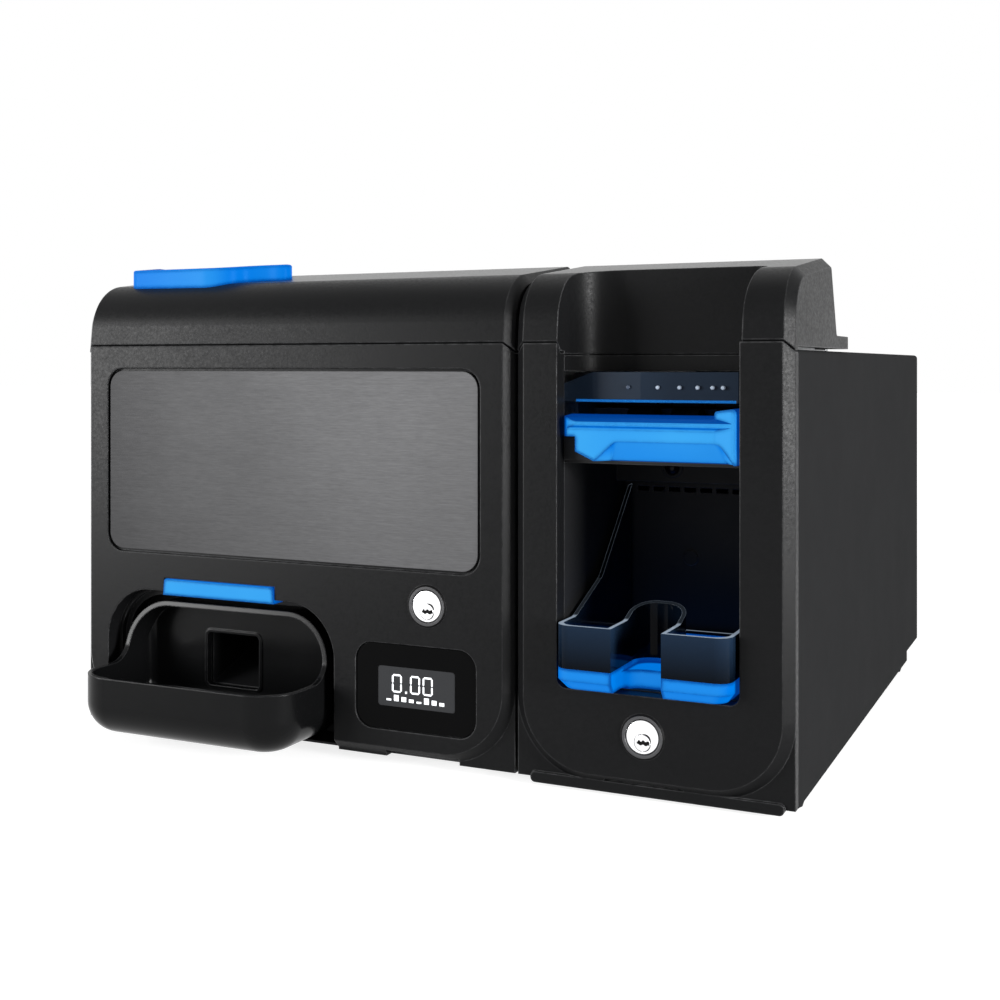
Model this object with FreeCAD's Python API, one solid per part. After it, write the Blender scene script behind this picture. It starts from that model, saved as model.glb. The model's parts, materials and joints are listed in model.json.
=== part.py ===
import FreeCAD, Part
import math
import os

# Counter-top cash recycler: a wide coin module on the left and a narrow banknote module on the right.
# Working frame, in millimetres: X to the right, Y back from the front faces, Z up from the case underside.
# The finished shapes are moved so that the origin is the middle of the footprint, under the feet.

# Overall sizes
COIN_LEFT = -4.6
COIN_RIGHT = 328.0
NOTE_LEFT = 330.0
NOTE_RIGHT = 500.0
DEPTH = 500.0
CUP_REACH = 50.0
FOOT_H = 5.0

# Sheet-metal cases
SHEET = 1.5
CASE_FRONT = 14.0
CASE_TOP = 259.5
FOLD_R = 3.0
HOOD_NOTCH_END = 168.0
NOTCH_FLANGE = 9.0
NOTCH_R = 6.0
STEP_Y = 437.0
STEP_Z = 8.0
REAR_Y = 491.5
SLOT_W = 34.0
SLOT_H = 3.5
SLOT_PITCH = 44.0
SLOT_ROWS = 9
SLOT_STEP = 9.0
SLOT_FOOT = 150.0
COIN_SLOT_COLUMNS = 5
NOTE_SLOT_COLUMNS = 3
FOOT_R = 9.5
FOOT_INSET = 10.3
FOOT_YS = (35.0, 415.0)
LINK_YS = (230.0, 400.0)
LINK_W = 50.0
LINK_Z = (60.0, 190.0)

# Drawer slides, measured inward from the side panel
SLIDE_W = 12.0
RAIL_Z = 40.0
RAIL_Y0 = 22.0
RAIL_Y1 = 452.0
RAIL_GAUGE = 1.2
RAIL_GAP = 0.5
RAIL_HALF = 18.0
RAIL_LIP = 9.6

# Front covers and the seam to the hoods
BEVEL = 6.0
COVER_BACK = 12.0
COVER_FOOT = 2.0
COVER_CORNER_R = 42.0
PLATE_FOOT = 0.5
SEAM_TOP = 264.0
SEAM_BACK = 258.0
SEAM_GAP = 1.3

# Hoods: side profile as (Y, Z) places
HOOD_FRONT = 0.3
HOOD_BROW = (4.5, 304.4)
HOOD_BROW_R = 34.0
HOOD_RIDGE = (112.0, 318.6)
HOOD_RIDGE_R = 9.0
HOOD_LEDGE_Y = 132.0
HOOD_LEDGE_Z = 269.5
HOOD_END_Y = 165.0
HOOD_FOOT = 261.3
HOOD_WALL = 3.0
HOOD_BEVEL = 5.5
HINGE_Y = 162.0
HINGE_Z = 264.5
PIN_R = 2.0
RUNNING = 0.05
KNUCKLE_R = 4.0
KNUCKLE_W = 8.0
PIN_LENGTH = 22.5
HINGE_PLAY = 1.0

# Chassis of each drawer
CHASSIS_FRONT = 12.0
CHASSIS_REAR = 470.0
CHASSIS_FOOT = 10.5
CHASSIS_LOW = 120.0
CHASSIS_HIGH = 250.0
CHASSIS_FLANGE = 10.0
CREST_Y = (14.5, 124.0, 156.0)
CREST_Z = (268.0, 260.8)
COIN_TALL_TO = 178.0
NOTE_TALL_TO = 335.0

# Brushed panel and display on the coin cover
PANEL = (18.0, 305.0, 122.5, 246.7)
PANEL_R = 11.0
PANEL_GAP = 2.0
PANEL_RECESS = 3.0
DISPLAY = (218.3, 304.3, 19.0, 74.0)
DISPLAY_R = 12.0
DISPLAY_RECESS = 2.5
DISPLAY_GAP = 0.6
DISPLAY_FACE = 1.0
SCREEN = (234.4, 289.2, 34.0, 59.3)
SCREEN_R = 2.0
BOARD = (214.0, 306.0, 14.0, 78.0)
BOARD_STAND_OFF = 8.0

# Coin niche, cup and light bar
NICHE = (16.6, 202.2, 95.0)
NICHE_R = 36.0
NICHE_BACK = 36.0
CUP_X = (27.5, 193.5)
CUP_BACK = 33.0
CUP_FOOT = 4.0
CUP_RIM = 44.0
CUP_TOP = 86.0
CUP_ARCH_R = 34.0
CUP_CORNER_R = 27.0
CUP_SOLE_R = 22.0
CUP_BACK_R = 6.0
CUP_SWEEP = (4.0, 12.0, 16.0)
CUP_WALL = 3.5
COIN_EXIT = (80.5, 124.0, 26.0, 63.0)
EXIT_FRAME = (2.2, 0.8)
LIGHT_BAR = (65.7, 156.0, 92.5, 103.7)
LIGHT_BAR_PROUD = 1.2

# Locks: centre of the face as (X, Z)
COIN_LOCK = (270.2, 99.5)
NOTE_LOCK = (412.0, 33.8)
LOCK_FACE_R = 9.75
LOCK_RING_R = 13.4
LOCK_MOAT = (11.5, 1.2)
LOCK_BORE_R = 10.0
LOCK_END = 24.0
PLUG_R = 4.75
PLUG_DROP = 3.3
CAM_LENGTHS = (30.0, 20.0)

# Coin inlet tray on the coin hood, outline as (X, Y, corner radius)
INLET_OUTLINE = [(16, 22, 9), (97, 20, 22), (109, 47, 18), (139, 47, 7), (100, 106, 14), (16, 106, 9)]
INLET_TOP = 321.7
INLET_FRONT_TOP = 318.0
INLET_WALL = 4.0
INLET_RIM_R = 1.5
INLET_FOOT = 290.0
INLET_FLOOR = 309.0
INLET_SLOPE = (18.0, 52.0)
FUNNEL_TOP = (38.0, 106.0, 55.0, 91.0)
FUNNEL_THROAT = (60.0, 105.0, 66.0, 90.0)
FUNNEL_FOOT = 284.0

# Sorter: disc, gear pair and motor
SORTER = (85.0, 98.0)
DECK_Z = 214.0
DECK_T = 4.0
BOWL_R = 60.0
BOWL_TOP = 252.0
BOWL_WALL = 3.0
DECK_Y = (30.0, 146.0)
GEAR_MODULE = 2.2
WHEEL_TEETH = 42
PINION_TEETH = 14
GEAR_BACKLASH = 0.25
GEAR_Z = 219.5
GEAR_H = 5.5
DISC_R = 58.0
DISC_Z = 226.5
DISC_T = 4.0
DISC_RIBS = 8
AXLE_BOSS = 8.0
PINION_SHAFT_R = 3.0
MOTOR_R = 18.0
MOTOR_H = 46.0

# Hoppers and payout belt
HOPPERS = 8
HOPPER_PITCH = 36.5
HOPPER_W = 35.0
HOPPER_X0 = 18.5
HOPPER_Y = (150.0, 462.0)
HOPPER_TOP = 190.0
HOPPER_WALL = 1.6
HOPPER_FLOOR = (62.0, 118.0)
TRACK_W = 42.0
TRACK_HOLES = (8.4, 0.7)
BELT_XS = (150.0, 290.0)
BELT_Z = 72.0
BELT_R = 12.0
BELT_Y = (63.0, 111.0)
BELT_T = 1.5
ROLLER_SHAFT_R = 3.0
CHUTE_WALL = 2.0
CHUTE_REAR = (118.0, 56.0, 96.0)

# Banknote module front
MOUTH = (358.0, 469.5)
MOUTH_FOOT = 57.5
MOUTH_R = 6.0
SCOOP_DEPTH = 45.0
SCOOP_R = 28.0
SCOOP_RIGHT = (467.3, 478.0)
SHROUD = (247.0, 256.8)
SHROUD_FENCE = (3.6, 5.2, 253.0, 262.0)
SKIRT_GAP = 0.9
BEZEL_X = (352.0, 372.5, 404.0, 463.5)
BEZEL_Y = (25.5, 22.4, 20.0, 21.5)
BEZEL_Z = 228.3
BEZEL_TOPS = (239.3, 246.5)
BEZEL_BACK = 62.0
BEZEL_HOLLOW = 30.0
MOUTH_LIGHT = (361.0, 462.0, 1.6, 1.4)
LED_XS = (396.1, 414.7, 428.2, 439.2, 448.2, 454.5)
LED_Z = 237.4
LED_R = 1.2
LED_FRONT = 19.4
LED_BACK = 22.5
LIP = (358.8, 468.0, 193.5, 219.5)
LIP_BACK = 25.0
LIP_EAR = (454.0, 226.0)
LIP_FACE = 3.5
LIP_END_R = 13.0
LIP_NOTCH = (368.3, 380.0, 199.0, 208.0)
LIP_POST_Y = (10.0, 20.0)
POCKET_FOOT = 56.0
POCKET_TOP = 193.5
POCKET_BACK = 128.0
POCKET_WALL = 2.0
PAYOUT_BAR = (20.0, 18.0)
PAYOUT_SLOTS = 7
PAYOUT_X0 = 366.0
PAYOUT_PITCH = 11.0
PAYOUT_SLOT = (8.0, 165.5, 168.5)
POCKET_SENSOR = (403.5, 121.5, 5.0)
TRAY = (361.0, 467.0, -12.0)
TRAY_TOP = 72.0
GUARD_RIM = 97.5
GUARD_WALL = 2.5
GUARD_BACK = 122.0
GUARD_PEAK = 171.0
GUARD_KNEES = ((18.0, 97.5), (64.0, 115.3))
NOSE_FOOT = 59.5
NOSE_FULL = 65.0
NOSE_INSET = 4.0
TRAY_FLOOR = 65.5
THUMB = (396.5, 427.0)
THUMB_END = 39.0
THUMB_R = 12.0
THUMB_STEP = (17.0, 69.0)

# Banknote transport and storage
NOTE_PATH_Z = 224.0
FEED_Y = 78.0
FEED_R = 10.0
FEED_NIP = 0.6
FEED_SHAFT_R = 3.0
TYRE_XS = (378.0, 407.0, 436.0)
TYRE_W = 18.0
VALIDATOR_END = 157.0
DEFLECTOR = (2.0, 6.0)
VALIDATOR_TOP = 246.0
VALIDATOR_CHEEK = 2.5
NOTE_PATH_GAP = 3.0
DRUM_YS = (190.0, 285.0)
DRUM_Z = 130.0
DRUM_R = 38.0
DRUM_CORE_R = 14.0
DRUM_X = (372.0, 456.0)
DRUM_FLANGE = 2.0
DRUM_WINDOWS = 5
AXLE_R = 4.0
CASSETTE = (352.0, 478.0, 345.0, 462.0)
CASSETTE_R = 5.0
CASSETTE_TOP = 200.0

# Power entry on the coin case's rear
POWER = (246.0, 306.0, 30.0, 62.0)
POWER_RIM = 3.0
POWER_FACE_T = 2.5
POWER_DEPTH = 22.0
SOCKET = (251.0, 276.0, 37.0, 54.5)
SOCKET_DEPTH = 15.0
SOCKET_CHAMFER = 5.0
SWITCH = (284.0, 300.0, 35.0, 57.0)
SWITCH_PIVOT_Y = REAR_Y - 0.5
SWITCH_PIVOT_R = 1.5
DATA_XS = (120.0, 150.0, 180.0)
DATA_Z = 36.0
DATA_HALF = (8.8, 7.8)
DATA_DEPTH = 18.0

AXES = {"x": FreeCAD.Vector(1, 0, 0), "y": FreeCAD.Vector(0, 1, 0), "z": FreeCAD.Vector(0, 0, 1)}


def place(axis, u, v, level):
    """A point of a sketch drawn square to one axis: (Y, Z), (X, Z) or (X, Y)."""
    if axis == "x":
        return FreeCAD.Vector(level, u, v)
    if axis == "y":
        return FreeCAD.Vector(u, level, v)
    return FreeCAD.Vector(u, v, level)


def outline(axis, corners, level):
    """Closed wire through corners (u, v, radius), each corner rounded by its radius."""
    stops = []
    count = len(corners)
    for i, (u, v, r) in enumerate(corners):
        before = corners[i - 1]
        after = corners[(i + 1) % count]
        back = FreeCAD.Vector(before[0] - u, before[1] - v, 0).normalize()
        ahead = FreeCAD.Vector(after[0] - u, after[1] - v, 0).normalize()
        corner = FreeCAD.Vector(u, v, 0)
        half = back.getAngle(ahead) / 2
        if r <= 0 or half > math.pi / 2 - 1e-4:
            stops.append((corner, None, corner))
            continue
        inward = (back + ahead).normalize()
        reach = r / math.tan(half)
        middle = corner + inward * (r / math.sin(half) - r)
        stops.append((corner + back * reach, middle, corner + ahead * reach))
    edges = []
    for i, (start, middle, stop) in enumerate(stops):
        a = place(axis, start.x, start.y, level)
        b = place(axis, stop.x, stop.y, level)
        if middle is not None:
            edges.append(Part.Arc(a, place(axis, middle.x, middle.y, level), b).toShape())
        following = stops[(i + 1) % count][0]
        c = place(axis, following.x, following.y, level)
        if b.distanceToPoint(c) > 1e-6:
            edges.append(Part.LineSegment(b, c).toShape())
    return Part.Wire(edges)


def prism(axis, corners, low, high):
    """Solid of a rounded outline, extruded along one axis."""
    return Part.Face(outline(axis, corners, low)).extrude(AXES[axis] * (high - low))


def loft(axis, corners_a, level_a, corners_b, level_b):
    """Straight loft between two outlines with the same corners."""
    return Part.makeLoft([outline(axis, corners_a, level_a), outline(axis, corners_b, level_b)], True, True)


def sharp(points):
    """Corners without rounding."""
    return [(u, v, 0) for u, v in points]


def rounded(u0, u1, v0, v1, r):
    """Corners of a rectangle with one radius."""
    return [(u0, v0, r), (u1, v0, r), (u1, v1, r), (u0, v1, r)]


def archway(u0, u1, foot, top, r):
    """Corners of a rectangle whose two upper corners are rounded."""
    return [(u0, foot, 0), (u1, foot, 0), (u1, top, r), (u0, top, r)]


def inset(corners, distances):
    """Corners moved inward by one distance per edge, the edge that starts at each corner."""
    count = len(corners)
    area = sum(corners[i - 1][0] * corners[i][1] - corners[i][0] * corners[i - 1][1] for i in range(count))
    turn = 1 if area > 0 else -1
    lines = []
    for i in range(count):
        u, v, _ = corners[i]
        du = corners[(i + 1) % count][0] - u
        dv = corners[(i + 1) % count][1] - v
        length = math.hypot(du, dv)
        shift = turn * distances[i] / length
        lines.append((u - dv * shift, v + du * shift, du, dv))
    result = []
    for i in range(count):
        u1, v1, du1, dv1 = lines[i - 1]
        u2, v2, du2, dv2 = lines[i]
        cross = du1 * dv2 - dv1 * du2
        t = ((u2 - u1) * dv2 - (v2 - v1) * du2) / cross
        radius = corners[i][2]
        if radius > 0:
            convex = cross * turn > 0
            step = min(distances[i - 1], distances[i])
            radius = max(0.5, radius - step if convex else radius + step)
        result.append((u1 + du1 * t, v1 + dv1 * t, radius))
    return result


def box(x0, x1, y0, y1, z0, z1):
    """Block between two corners."""
    return Part.makeBox(x1 - x0, y1 - y0, z1 - z0, FreeCAD.Vector(x0, y0, z0))


def rod(axis, u, v, radius, low, high):
    """Round bar along one axis."""
    return Part.makeCylinder(radius, high - low, place(axis, u, v, low), AXES[axis])


def fuse(first, *others):
    """One solid from touching pieces."""
    return first.multiFuse(others).removeSplitter()


def group(shapes):
    """Separate solids that share one node."""
    return Part.makeCompound(shapes)


# Housing


def case_wrap(x0, x1):
    """Folded sheet over one module: two sides and a top, with a notch under the hood."""
    under = CASE_TOP - SHEET
    skin = prism("y", archway(x0, x1, 0, CASE_TOP, FOLD_R), CASE_FRONT, DEPTH)
    hollow = archway(x0 + SHEET, x1 - SHEET, -1, under, FOLD_R - SHEET)
    skin = skin.cut(prism("y", hollow, CASE_FRONT - 1, DEPTH + 1))
    notch = rounded(x0 + NOTCH_FLANGE, x1 - NOTCH_FLANGE, CASE_FRONT - 20, HOOD_NOTCH_END, NOTCH_R)
    skin = skin.cut(prism("z", notch, under - 1, CASE_TOP + 1))
    return skin.cut(box(x0 - 1, x1 + 1, STEP_Y, DEPTH + 1, -1, STEP_Z))


def case_base(x0, x1):
    """Floor sheet with a step up towards the rear."""
    profile = [(CASE_FRONT, 0), (STEP_Y + SHEET, 0), (STEP_Y + SHEET, STEP_Z), (REAR_Y, STEP_Z),
               (REAR_Y, STEP_Z + SHEET), (STEP_Y, STEP_Z + SHEET), (STEP_Y, SHEET), (CASE_FRONT, SHEET)]
    return prism("x", sharp(profile), x0 + SHEET, x1 - SHEET)


def case_rear(x0, x1, columns):
    """Rear sheet with rows of air slots."""
    sheet = archway(x0 + SHEET, x1 - SHEET, STEP_Z, CASE_TOP - SHEET, FOLD_R - SHEET)
    plate = prism("y", sheet, REAR_Y, REAR_Y + SHEET)
    first = (x0 + x1 - (columns - 1) * SLOT_PITCH - SLOT_W) / 2
    slots = []
    for column in range(columns):
        for row in range(SLOT_ROWS):
            x = first + column * SLOT_PITCH
            z = SLOT_FOOT + row * SLOT_STEP
            slots.append(box(x, x + SLOT_W, REAR_Y - 1, REAR_Y + SHEET + 1, z, z + SLOT_H))
    return plate.cut(slots)


def data_block(x, wall, low, high):
    """Block of one data socket, drawn in by a wall."""
    half_x = DATA_HALF[0] - wall
    half_z = DATA_HALF[1] - wall
    return box(x - half_x, x + half_x, low, high, DATA_Z - half_z, DATA_Z + half_z)


def coin_case_rear():
    """Coin module's rear sheet with the power entry and data windows."""
    plate = case_rear(COIN_LEFT, COIN_RIGHT, COIN_SLOT_COLUMNS)
    x0, x1, z0, z1 = POWER
    rim = POWER_RIM
    windows = [box(x0 + rim, x1 - rim, REAR_Y - 1, REAR_Y + SHEET + 1, z0 + rim, z1 - rim)]
    for x in DATA_XS:
        windows.append(data_block(x, 0, REAR_Y - 1, REAR_Y + SHEET + 1))
    return plate.cut(windows)


def rubber_feet():
    """Four tapered feet under each module."""
    feet = []
    for x0, x1 in ((COIN_LEFT, COIN_RIGHT), (NOTE_LEFT, NOTE_RIGHT)):
        for x in (x0 + FOOT_INSET, x1 - FOOT_INSET):
            for y in FOOT_YS:
                foot = Part.makeCone(FOOT_R - 1.5, FOOT_R, FOOT_H, FreeCAD.Vector(x, y, -FOOT_H))
                feet.append(foot)
    return group(feet)


def module_link_plates():
    """Spacer plates that join the two cases side by side."""
    return group([box(COIN_RIGHT, NOTE_LEFT, y, y + LINK_W, *LINK_Z) for y in LINK_YS])


def rail_pair(x0, x1, web, flange0, flange1, half):
    """Left and right rail channels of one drawer slide."""
    rails = []
    for panel, inward in ((x0 + SHEET, 1), (x1 - SHEET, -1)):
        def strip(a, b, low, high):
            ends = sorted((panel + inward * a, panel + inward * b))
            return box(ends[0], ends[1], RAIL_Y0, RAIL_Y1, RAIL_Z + low, RAIL_Z + high)
        back = strip(web, web + RAIL_GAUGE, -half, half)
        top = strip(flange0, flange1, half - RAIL_GAUGE, half)
        foot = strip(flange0, flange1, -half, RAIL_GAUGE - half)
        rails.append(fuse(back, top, foot))
    return rails


def outer_rails():
    """Rails fixed to the case sides."""
    rails = rail_pair(COIN_LEFT, COIN_RIGHT, 0, 0, RAIL_LIP, RAIL_HALF)
    return group(rails + rail_pair(NOTE_LEFT, NOTE_RIGHT, 0, 0, RAIL_LIP, RAIL_HALF))


def mid_rails(x0, x1):
    """Middle rails that run inside the outer ones."""
    step = RAIL_GAUGE + RAIL_GAP
    return group(rail_pair(x0, x1, step, step, RAIL_LIP, RAIL_HALF - step))


def inner_rails(x0, x1):
    """Inner rails on the chassis sides."""
    step = 2 * (RAIL_GAUGE + RAIL_GAP)
    return group(rail_pair(x0, x1, SLIDE_W - RAIL_GAUGE, step, SLIDE_W, RAIL_HALF - step))


def power_inlet():
    """Power entry: a three-pin appliance inlet beside the window of a rocker switch."""
    x0, x1, z0, z1 = POWER
    rim = POWER_RIM
    face = REAR_Y + SHEET
    block = prism("y", rounded(x0, x1, z0, z1, rim), face, face + POWER_FACE_T)
    block = block.fuse(box(x0 + rim, x1 - rim, face - POWER_DEPTH, face, z0 + rim, z1 - rim))
    sx0, sx1, sz0, sz1 = SOCKET
    slant = SOCKET_CHAMFER
    hollow = sharp([(sx0, sz0), (sx1, sz0), (sx1, sz1 - slant), (sx1 - slant, sz1), (sx0 + slant, sz1),
                    (sx0, sz1 - slant)])
    block = block.cut(prism("y", hollow, face - SOCKET_DEPTH, face + POWER_FACE_T + 1))
    wx0, wx1, wz0, wz1 = SWITCH
    block = block.cut(box(wx0, wx1, face - SOCKET_DEPTH, face + POWER_FACE_T + 1, wz0, wz1))
    middle = (sx0 + sx1) / 2
    pieces = []
    for x, z in ((middle - 7, sz0 + 6), (middle + 7, sz0 + 6), (middle, sz0 + 10)):
        pieces.append(box(x - 1, x + 1, face - SOCKET_DEPTH - 1, face - 6, z - 2, z + 2))
    for x in (wx0, wx1 - 1.2):
        pieces.append(rod("x", SWITCH_PIVOT_Y, (wz0 + wz1) / 2, SWITCH_PIVOT_R, x - 0.2, x + 1.4))
    return fuse(block, *pieces)


def power_rocker():
    """Rocker of the power switch, dished across its face."""
    wx0, wx1, wz0, wz1 = SWITCH
    face = REAR_Y + SHEET
    middle = (wz0 + wz1) / 2
    half = (wz1 - wz0) / 2 - 1.6
    profile = [(face - 7, middle - 5, 1), (face - 1, middle - half, 0), (face + 2.6, middle - half, 1),
               (face + 1.2, middle, 0), (face + 2.6, middle + half, 1), (face - 1, middle + half, 0),
               (face - 7, middle + 5, 1)]
    rocker = prism("x", profile, wx0 + 0.5, wx1 - 0.5)
    return rocker.cut(rod("x", SWITCH_PIVOT_Y, middle, SWITCH_PIVOT_R + RUNNING, wx0, wx1))


def data_sockets():
    """Row of plain data sockets in the rear sheet's windows."""
    sockets = []
    front = REAR_Y + SHEET + 1
    wall = 2.8
    for x in DATA_XS:
        block = data_block(x, 0, front - DATA_DEPTH, front)
        sockets.append(block.cut(data_block(x, wall, front - DATA_DEPTH + wall, front + 1)))
    return group(sockets)


# Both drawers


def chassis(x0, x1, floor_from, tall_to):
    """Sheet tray on the inner rails. Its tall sides close the gap under the hood and carry its knuckles."""
    left = x0 + SHEET + SLIDE_W
    right = x1 - SHEET - SLIDE_W
    low = CHASSIS_LOW
    high = CHASSIS_HIGH
    crest_front, crest_end, crest_rear = CREST_Y
    crest, step = CREST_Z
    profile = [(CHASSIS_FRONT, CHASSIS_FOOT, 0), (CHASSIS_REAR, CHASSIS_FOOT, 0), (CHASSIS_REAR, low, 10),
               (tall_to + 45, low, 12), (tall_to, high, 12), (crest_rear, high, 0), (crest_rear, step, 0),
               (crest_end, step, 0), (crest_end, crest, 4), (crest_front, crest, 4), (crest_front, high, 0),
               (CHASSIS_FRONT, high, 0)]
    pieces = [box(left, right, floor_from, CHASSIS_REAR, CHASSIS_FOOT, CHASSIS_FOOT + SHEET),
              box(left, right, CHASSIS_REAR - SHEET, CHASSIS_REAR, CHASSIS_FOOT, low)]
    bores = []
    for plate, inward in ((left, 1), (right, -1)):
        inner = sorted((plate, plate + inward * SHEET))
        pieces.append(prism("x", profile, inner[0], inner[1]))
        flange = sorted((plate, plate + inward * CHASSIS_FLANGE))
        pieces.append(box(flange[0], flange[1], CHASSIS_FRONT, CHASSIS_FRONT + SHEET, 104, high))
        arm = sorted((plate, plate + inward * KNUCKLE_W))
        pieces.append(box(arm[0], arm[1], HINGE_Y - KNUCKLE_R, HINGE_Y + KNUCKLE_R, high - 20, HINGE_Z))
        pieces.append(rod("x", HINGE_Y, HINGE_Z, KNUCKLE_R, arm[0], arm[1]))
        bores.append(rod("x", HINGE_Y, HINGE_Z, PIN_R, arm[0] - 1, arm[1] + 1))
    return fuse(*pieces).cut(bores)


def hood_pins(x0, x1):
    """Two short hinge pins, held in the chassis knuckles."""
    left = x0 + SHEET + SLIDE_W
    right = x1 - SHEET - SLIDE_W
    return group([rod("x", HINGE_Y, HINGE_Z, PIN_R, left, left + PIN_LENGTH),
                  rod("x", HINGE_Y, HINGE_Z, PIN_R, right - PIN_LENGTH, right)])


def cover_blank(x0, x1):
    """Front cover: a bevelled slab with rounded lower corners on a square backing plate."""
    def slab(edge):
        r = COVER_CORNER_R + BEVEL - edge
        foot = COVER_FOOT + edge
        top = SEAM_TOP + 20
        return [(x0 + edge, foot, r), (x1 - edge, foot, r), (x1 - edge, top, 0), (x0 + edge, top, 0)]
    blank = loft("y", slab(BEVEL), 0, slab(0), BEVEL)
    blank = blank.fuse(box(x0, x1, BEVEL, COVER_BACK, PLATE_FOOT, SEAM_TOP))
    above = SEAM_TOP + 40
    seam = sharp([(-1, SEAM_TOP + 1), (BEVEL, SEAM_BACK), (20, SEAM_BACK), (20, above), (-1, above)])
    return blank.cut(prism("x", seam, x0 - 1, x1 + 1))


def lock_ring(centre):
    """Raised ring round a lock on a front cover."""
    x, z = centre
    return Part.makeCone(LOCK_RING_R - 0.9, LOCK_RING_R, 0.9, FreeCAD.Vector(x, -0.9, z), AXES["y"])


def lock_seat(centre):
    """Bore for a lock, with a shallow sunk ring round its face."""
    moat_r, moat_depth = LOCK_MOAT
    return [rod("y", *centre, LOCK_BORE_R, -2, COVER_BACK + 1), rod("y", *centre, moat_r, -2, moat_depth)]


def lock_barrel(centre):
    """Fixed part of a cam lock: face, barrel and nut, bored low for the plug."""
    x, z = centre
    barrel = rod("y", x, z, LOCK_FACE_R, -0.4, LOCK_END)
    nut = Part.makePolygon([FreeCAD.Vector(x + 14 * math.cos(i * math.pi / 3), COVER_BACK,
                                           z + 14 * math.sin(i * math.pi / 3)) for i in range(7)])
    nut = Part.Face(nut).extrude(AXES["y"] * 4)
    return fuse(barrel, nut).cut(rod("y", x, z - PLUG_DROP, PLUG_R + RUNNING, -2, LOCK_END + 1))


def lock_plug(centre, cam_length):
    """Turning plug with its keyway, and the cam on its end."""
    x, z = centre
    z = z - PLUG_DROP
    plug = rod("y", x, z, PLUG_R, -0.7, LOCK_END + 1)
    plug = plug.cut(box(x - 3.3, x + 3.3, -1, 6, z - 0.6, z + 0.6))
    cam = [(x - cam_length, z - 6, 5), (x + 6, z - 6, 5), (x + 6, z + 6, 5), (x - cam_length, z + 6, 5)]
    return fuse(plug, prism("y", cam, LOCK_END + 1, LOCK_END + 3.5))


def hood_corners():
    """Side outline of a hood, from its front edge over the ridge to the rear ledge and back."""
    foot = SEAM_BACK + SEAM_GAP
    return [(HOOD_FRONT, SEAM_TOP + SEAM_GAP, 0), (*HOOD_BROW, HOOD_BROW_R), (*HOOD_RIDGE, HOOD_RIDGE_R),
            (HOOD_LEDGE_Y, HOOD_LEDGE_Z, 3), (HOOD_END_Y, HOOD_LEDGE_Z, 1.5), (HOOD_END_Y, HOOD_FOOT, 0),
            (COVER_BACK + 0.5, HOOD_FOOT, 0), (COVER_BACK + 0.5, foot, 0), (HOOD_FRONT + BEVEL, foot, 0)]


def hood_block(x0, x1):
    """Outer form of a hood, its ends bevelled along the front, the top and the rear slope."""
    full = hood_corners()
    bevelled = inset(full, [HOOD_BEVEL, HOOD_BEVEL, HOOD_BEVEL, 0, 0, 0, 0, 0, 0])
    left = loft("x", bevelled, x0, full, x0 + HOOD_BEVEL)
    right = loft("x", full, x1 - HOOD_BEVEL, bevelled, x1)
    return fuse(prism("x", full, x0 + HOOD_BEVEL, x1 - HOOD_BEVEL), left, right)


def hood_hollow(x0, x1):
    """Inside of a hood, open underneath."""
    brow_y, brow_z = HOOD_BROW
    ridge_y, ridge_z = HOOD_RIDGE
    wall = HOOD_WALL
    rear = HOOD_LEDGE_Y - wall - 1
    foot = SEAM_BACK - 5
    brow = (brow_y + wall + 0.4, brow_z - wall - 0.4, HOOD_BROW_R - wall - 1)
    ridge = (ridge_y - wall - 1.9, ridge_z - wall - 1.4, HOOD_RIDGE_R - wall - 2)
    profile = [(BEVEL + 1, foot, 0), brow, ridge, (rear, HOOD_LEDGE_Z, 0), (rear, foot, 0)]
    return prism("x", profile, x0 + HOOD_BEVEL + 1, x1 - HOOD_BEVEL - 1)


def hinge_cuts(x0, x1):
    """Notches for the chassis knuckles and bores for the pins in a hood's rear ledge."""
    cuts = []
    left = x0 + SHEET + SLIDE_W
    right = x1 - SHEET - SLIDE_W
    for plate, inward in ((left, 1), (right, -1)):
        gap = sorted((plate - inward * HINGE_PLAY, plate + inward * (KNUCKLE_W + HINGE_PLAY)))
        front = HINGE_Y - KNUCKLE_R - 1.5
        cuts.append(box(gap[0], gap[1], front, HOOD_END_Y + 1, HOOD_FOOT - 1, HOOD_LEDGE_Z + 1))
        bore = sorted((plate + inward * KNUCKLE_W, plate + inward * (PIN_LENGTH + 1)))
        cuts.append(rod("x", HINGE_Y, HINGE_Z, PIN_R + RUNNING, bore[0], bore[1]))
    return cuts


# Coin drawer


def niche_arch(edge, foot):
    """Front outline of the coin niche, drawn in by an edge distance."""
    x0, x1, top = NICHE
    return archway(x0 + edge, x1 - edge, foot, top - edge, NICHE_R - edge)


def coin_front_cover():
    """Cover of the coin module with panel recess, display recess, niche, light bar slot and lock ring."""
    cover = cover_blank(COIN_LEFT, COIN_RIGHT).fuse(lock_ring(COIN_LOCK))
    x0, x1, z0, z1 = PANEL
    gap = PANEL_GAP
    cuts = [prism("y", rounded(x0 - gap, x1 + gap, z0 - gap, z1 + gap, PANEL_R + gap), -1, PANEL_RECESS)]
    cuts.append(prism("y", rounded(*DISPLAY, DISPLAY_R), -1, DISPLAY_RECESS))
    cuts.append(prism("y", niche_arch(0, -5), -1, COVER_BACK + 1))
    bx0, bx1, bz0, bz1 = LIGHT_BAR
    cuts.append(box(bx0 - 0.3, bx1 + 0.3, -1, COVER_BACK - 2, bz0, bz1 + 0.3))
    cuts.extend(lock_seat(COIN_LOCK))
    cells = 4
    rib = 3.0
    width = (x1 - x0 - 12) / cells
    for i in range(cells):
        for low, high in ((128, 182), (185, 242)):
            left = x0 + 6 + i * width
            cuts.append(box(left, left + width - rib, COVER_BACK - 4, COVER_BACK + 1, low, high))
    cuts.append(box(238, 290, -1, COVER_BACK + 1, -1, COVER_FOOT + 3))
    return cover.cut(cuts).removeSplitter()


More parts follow.
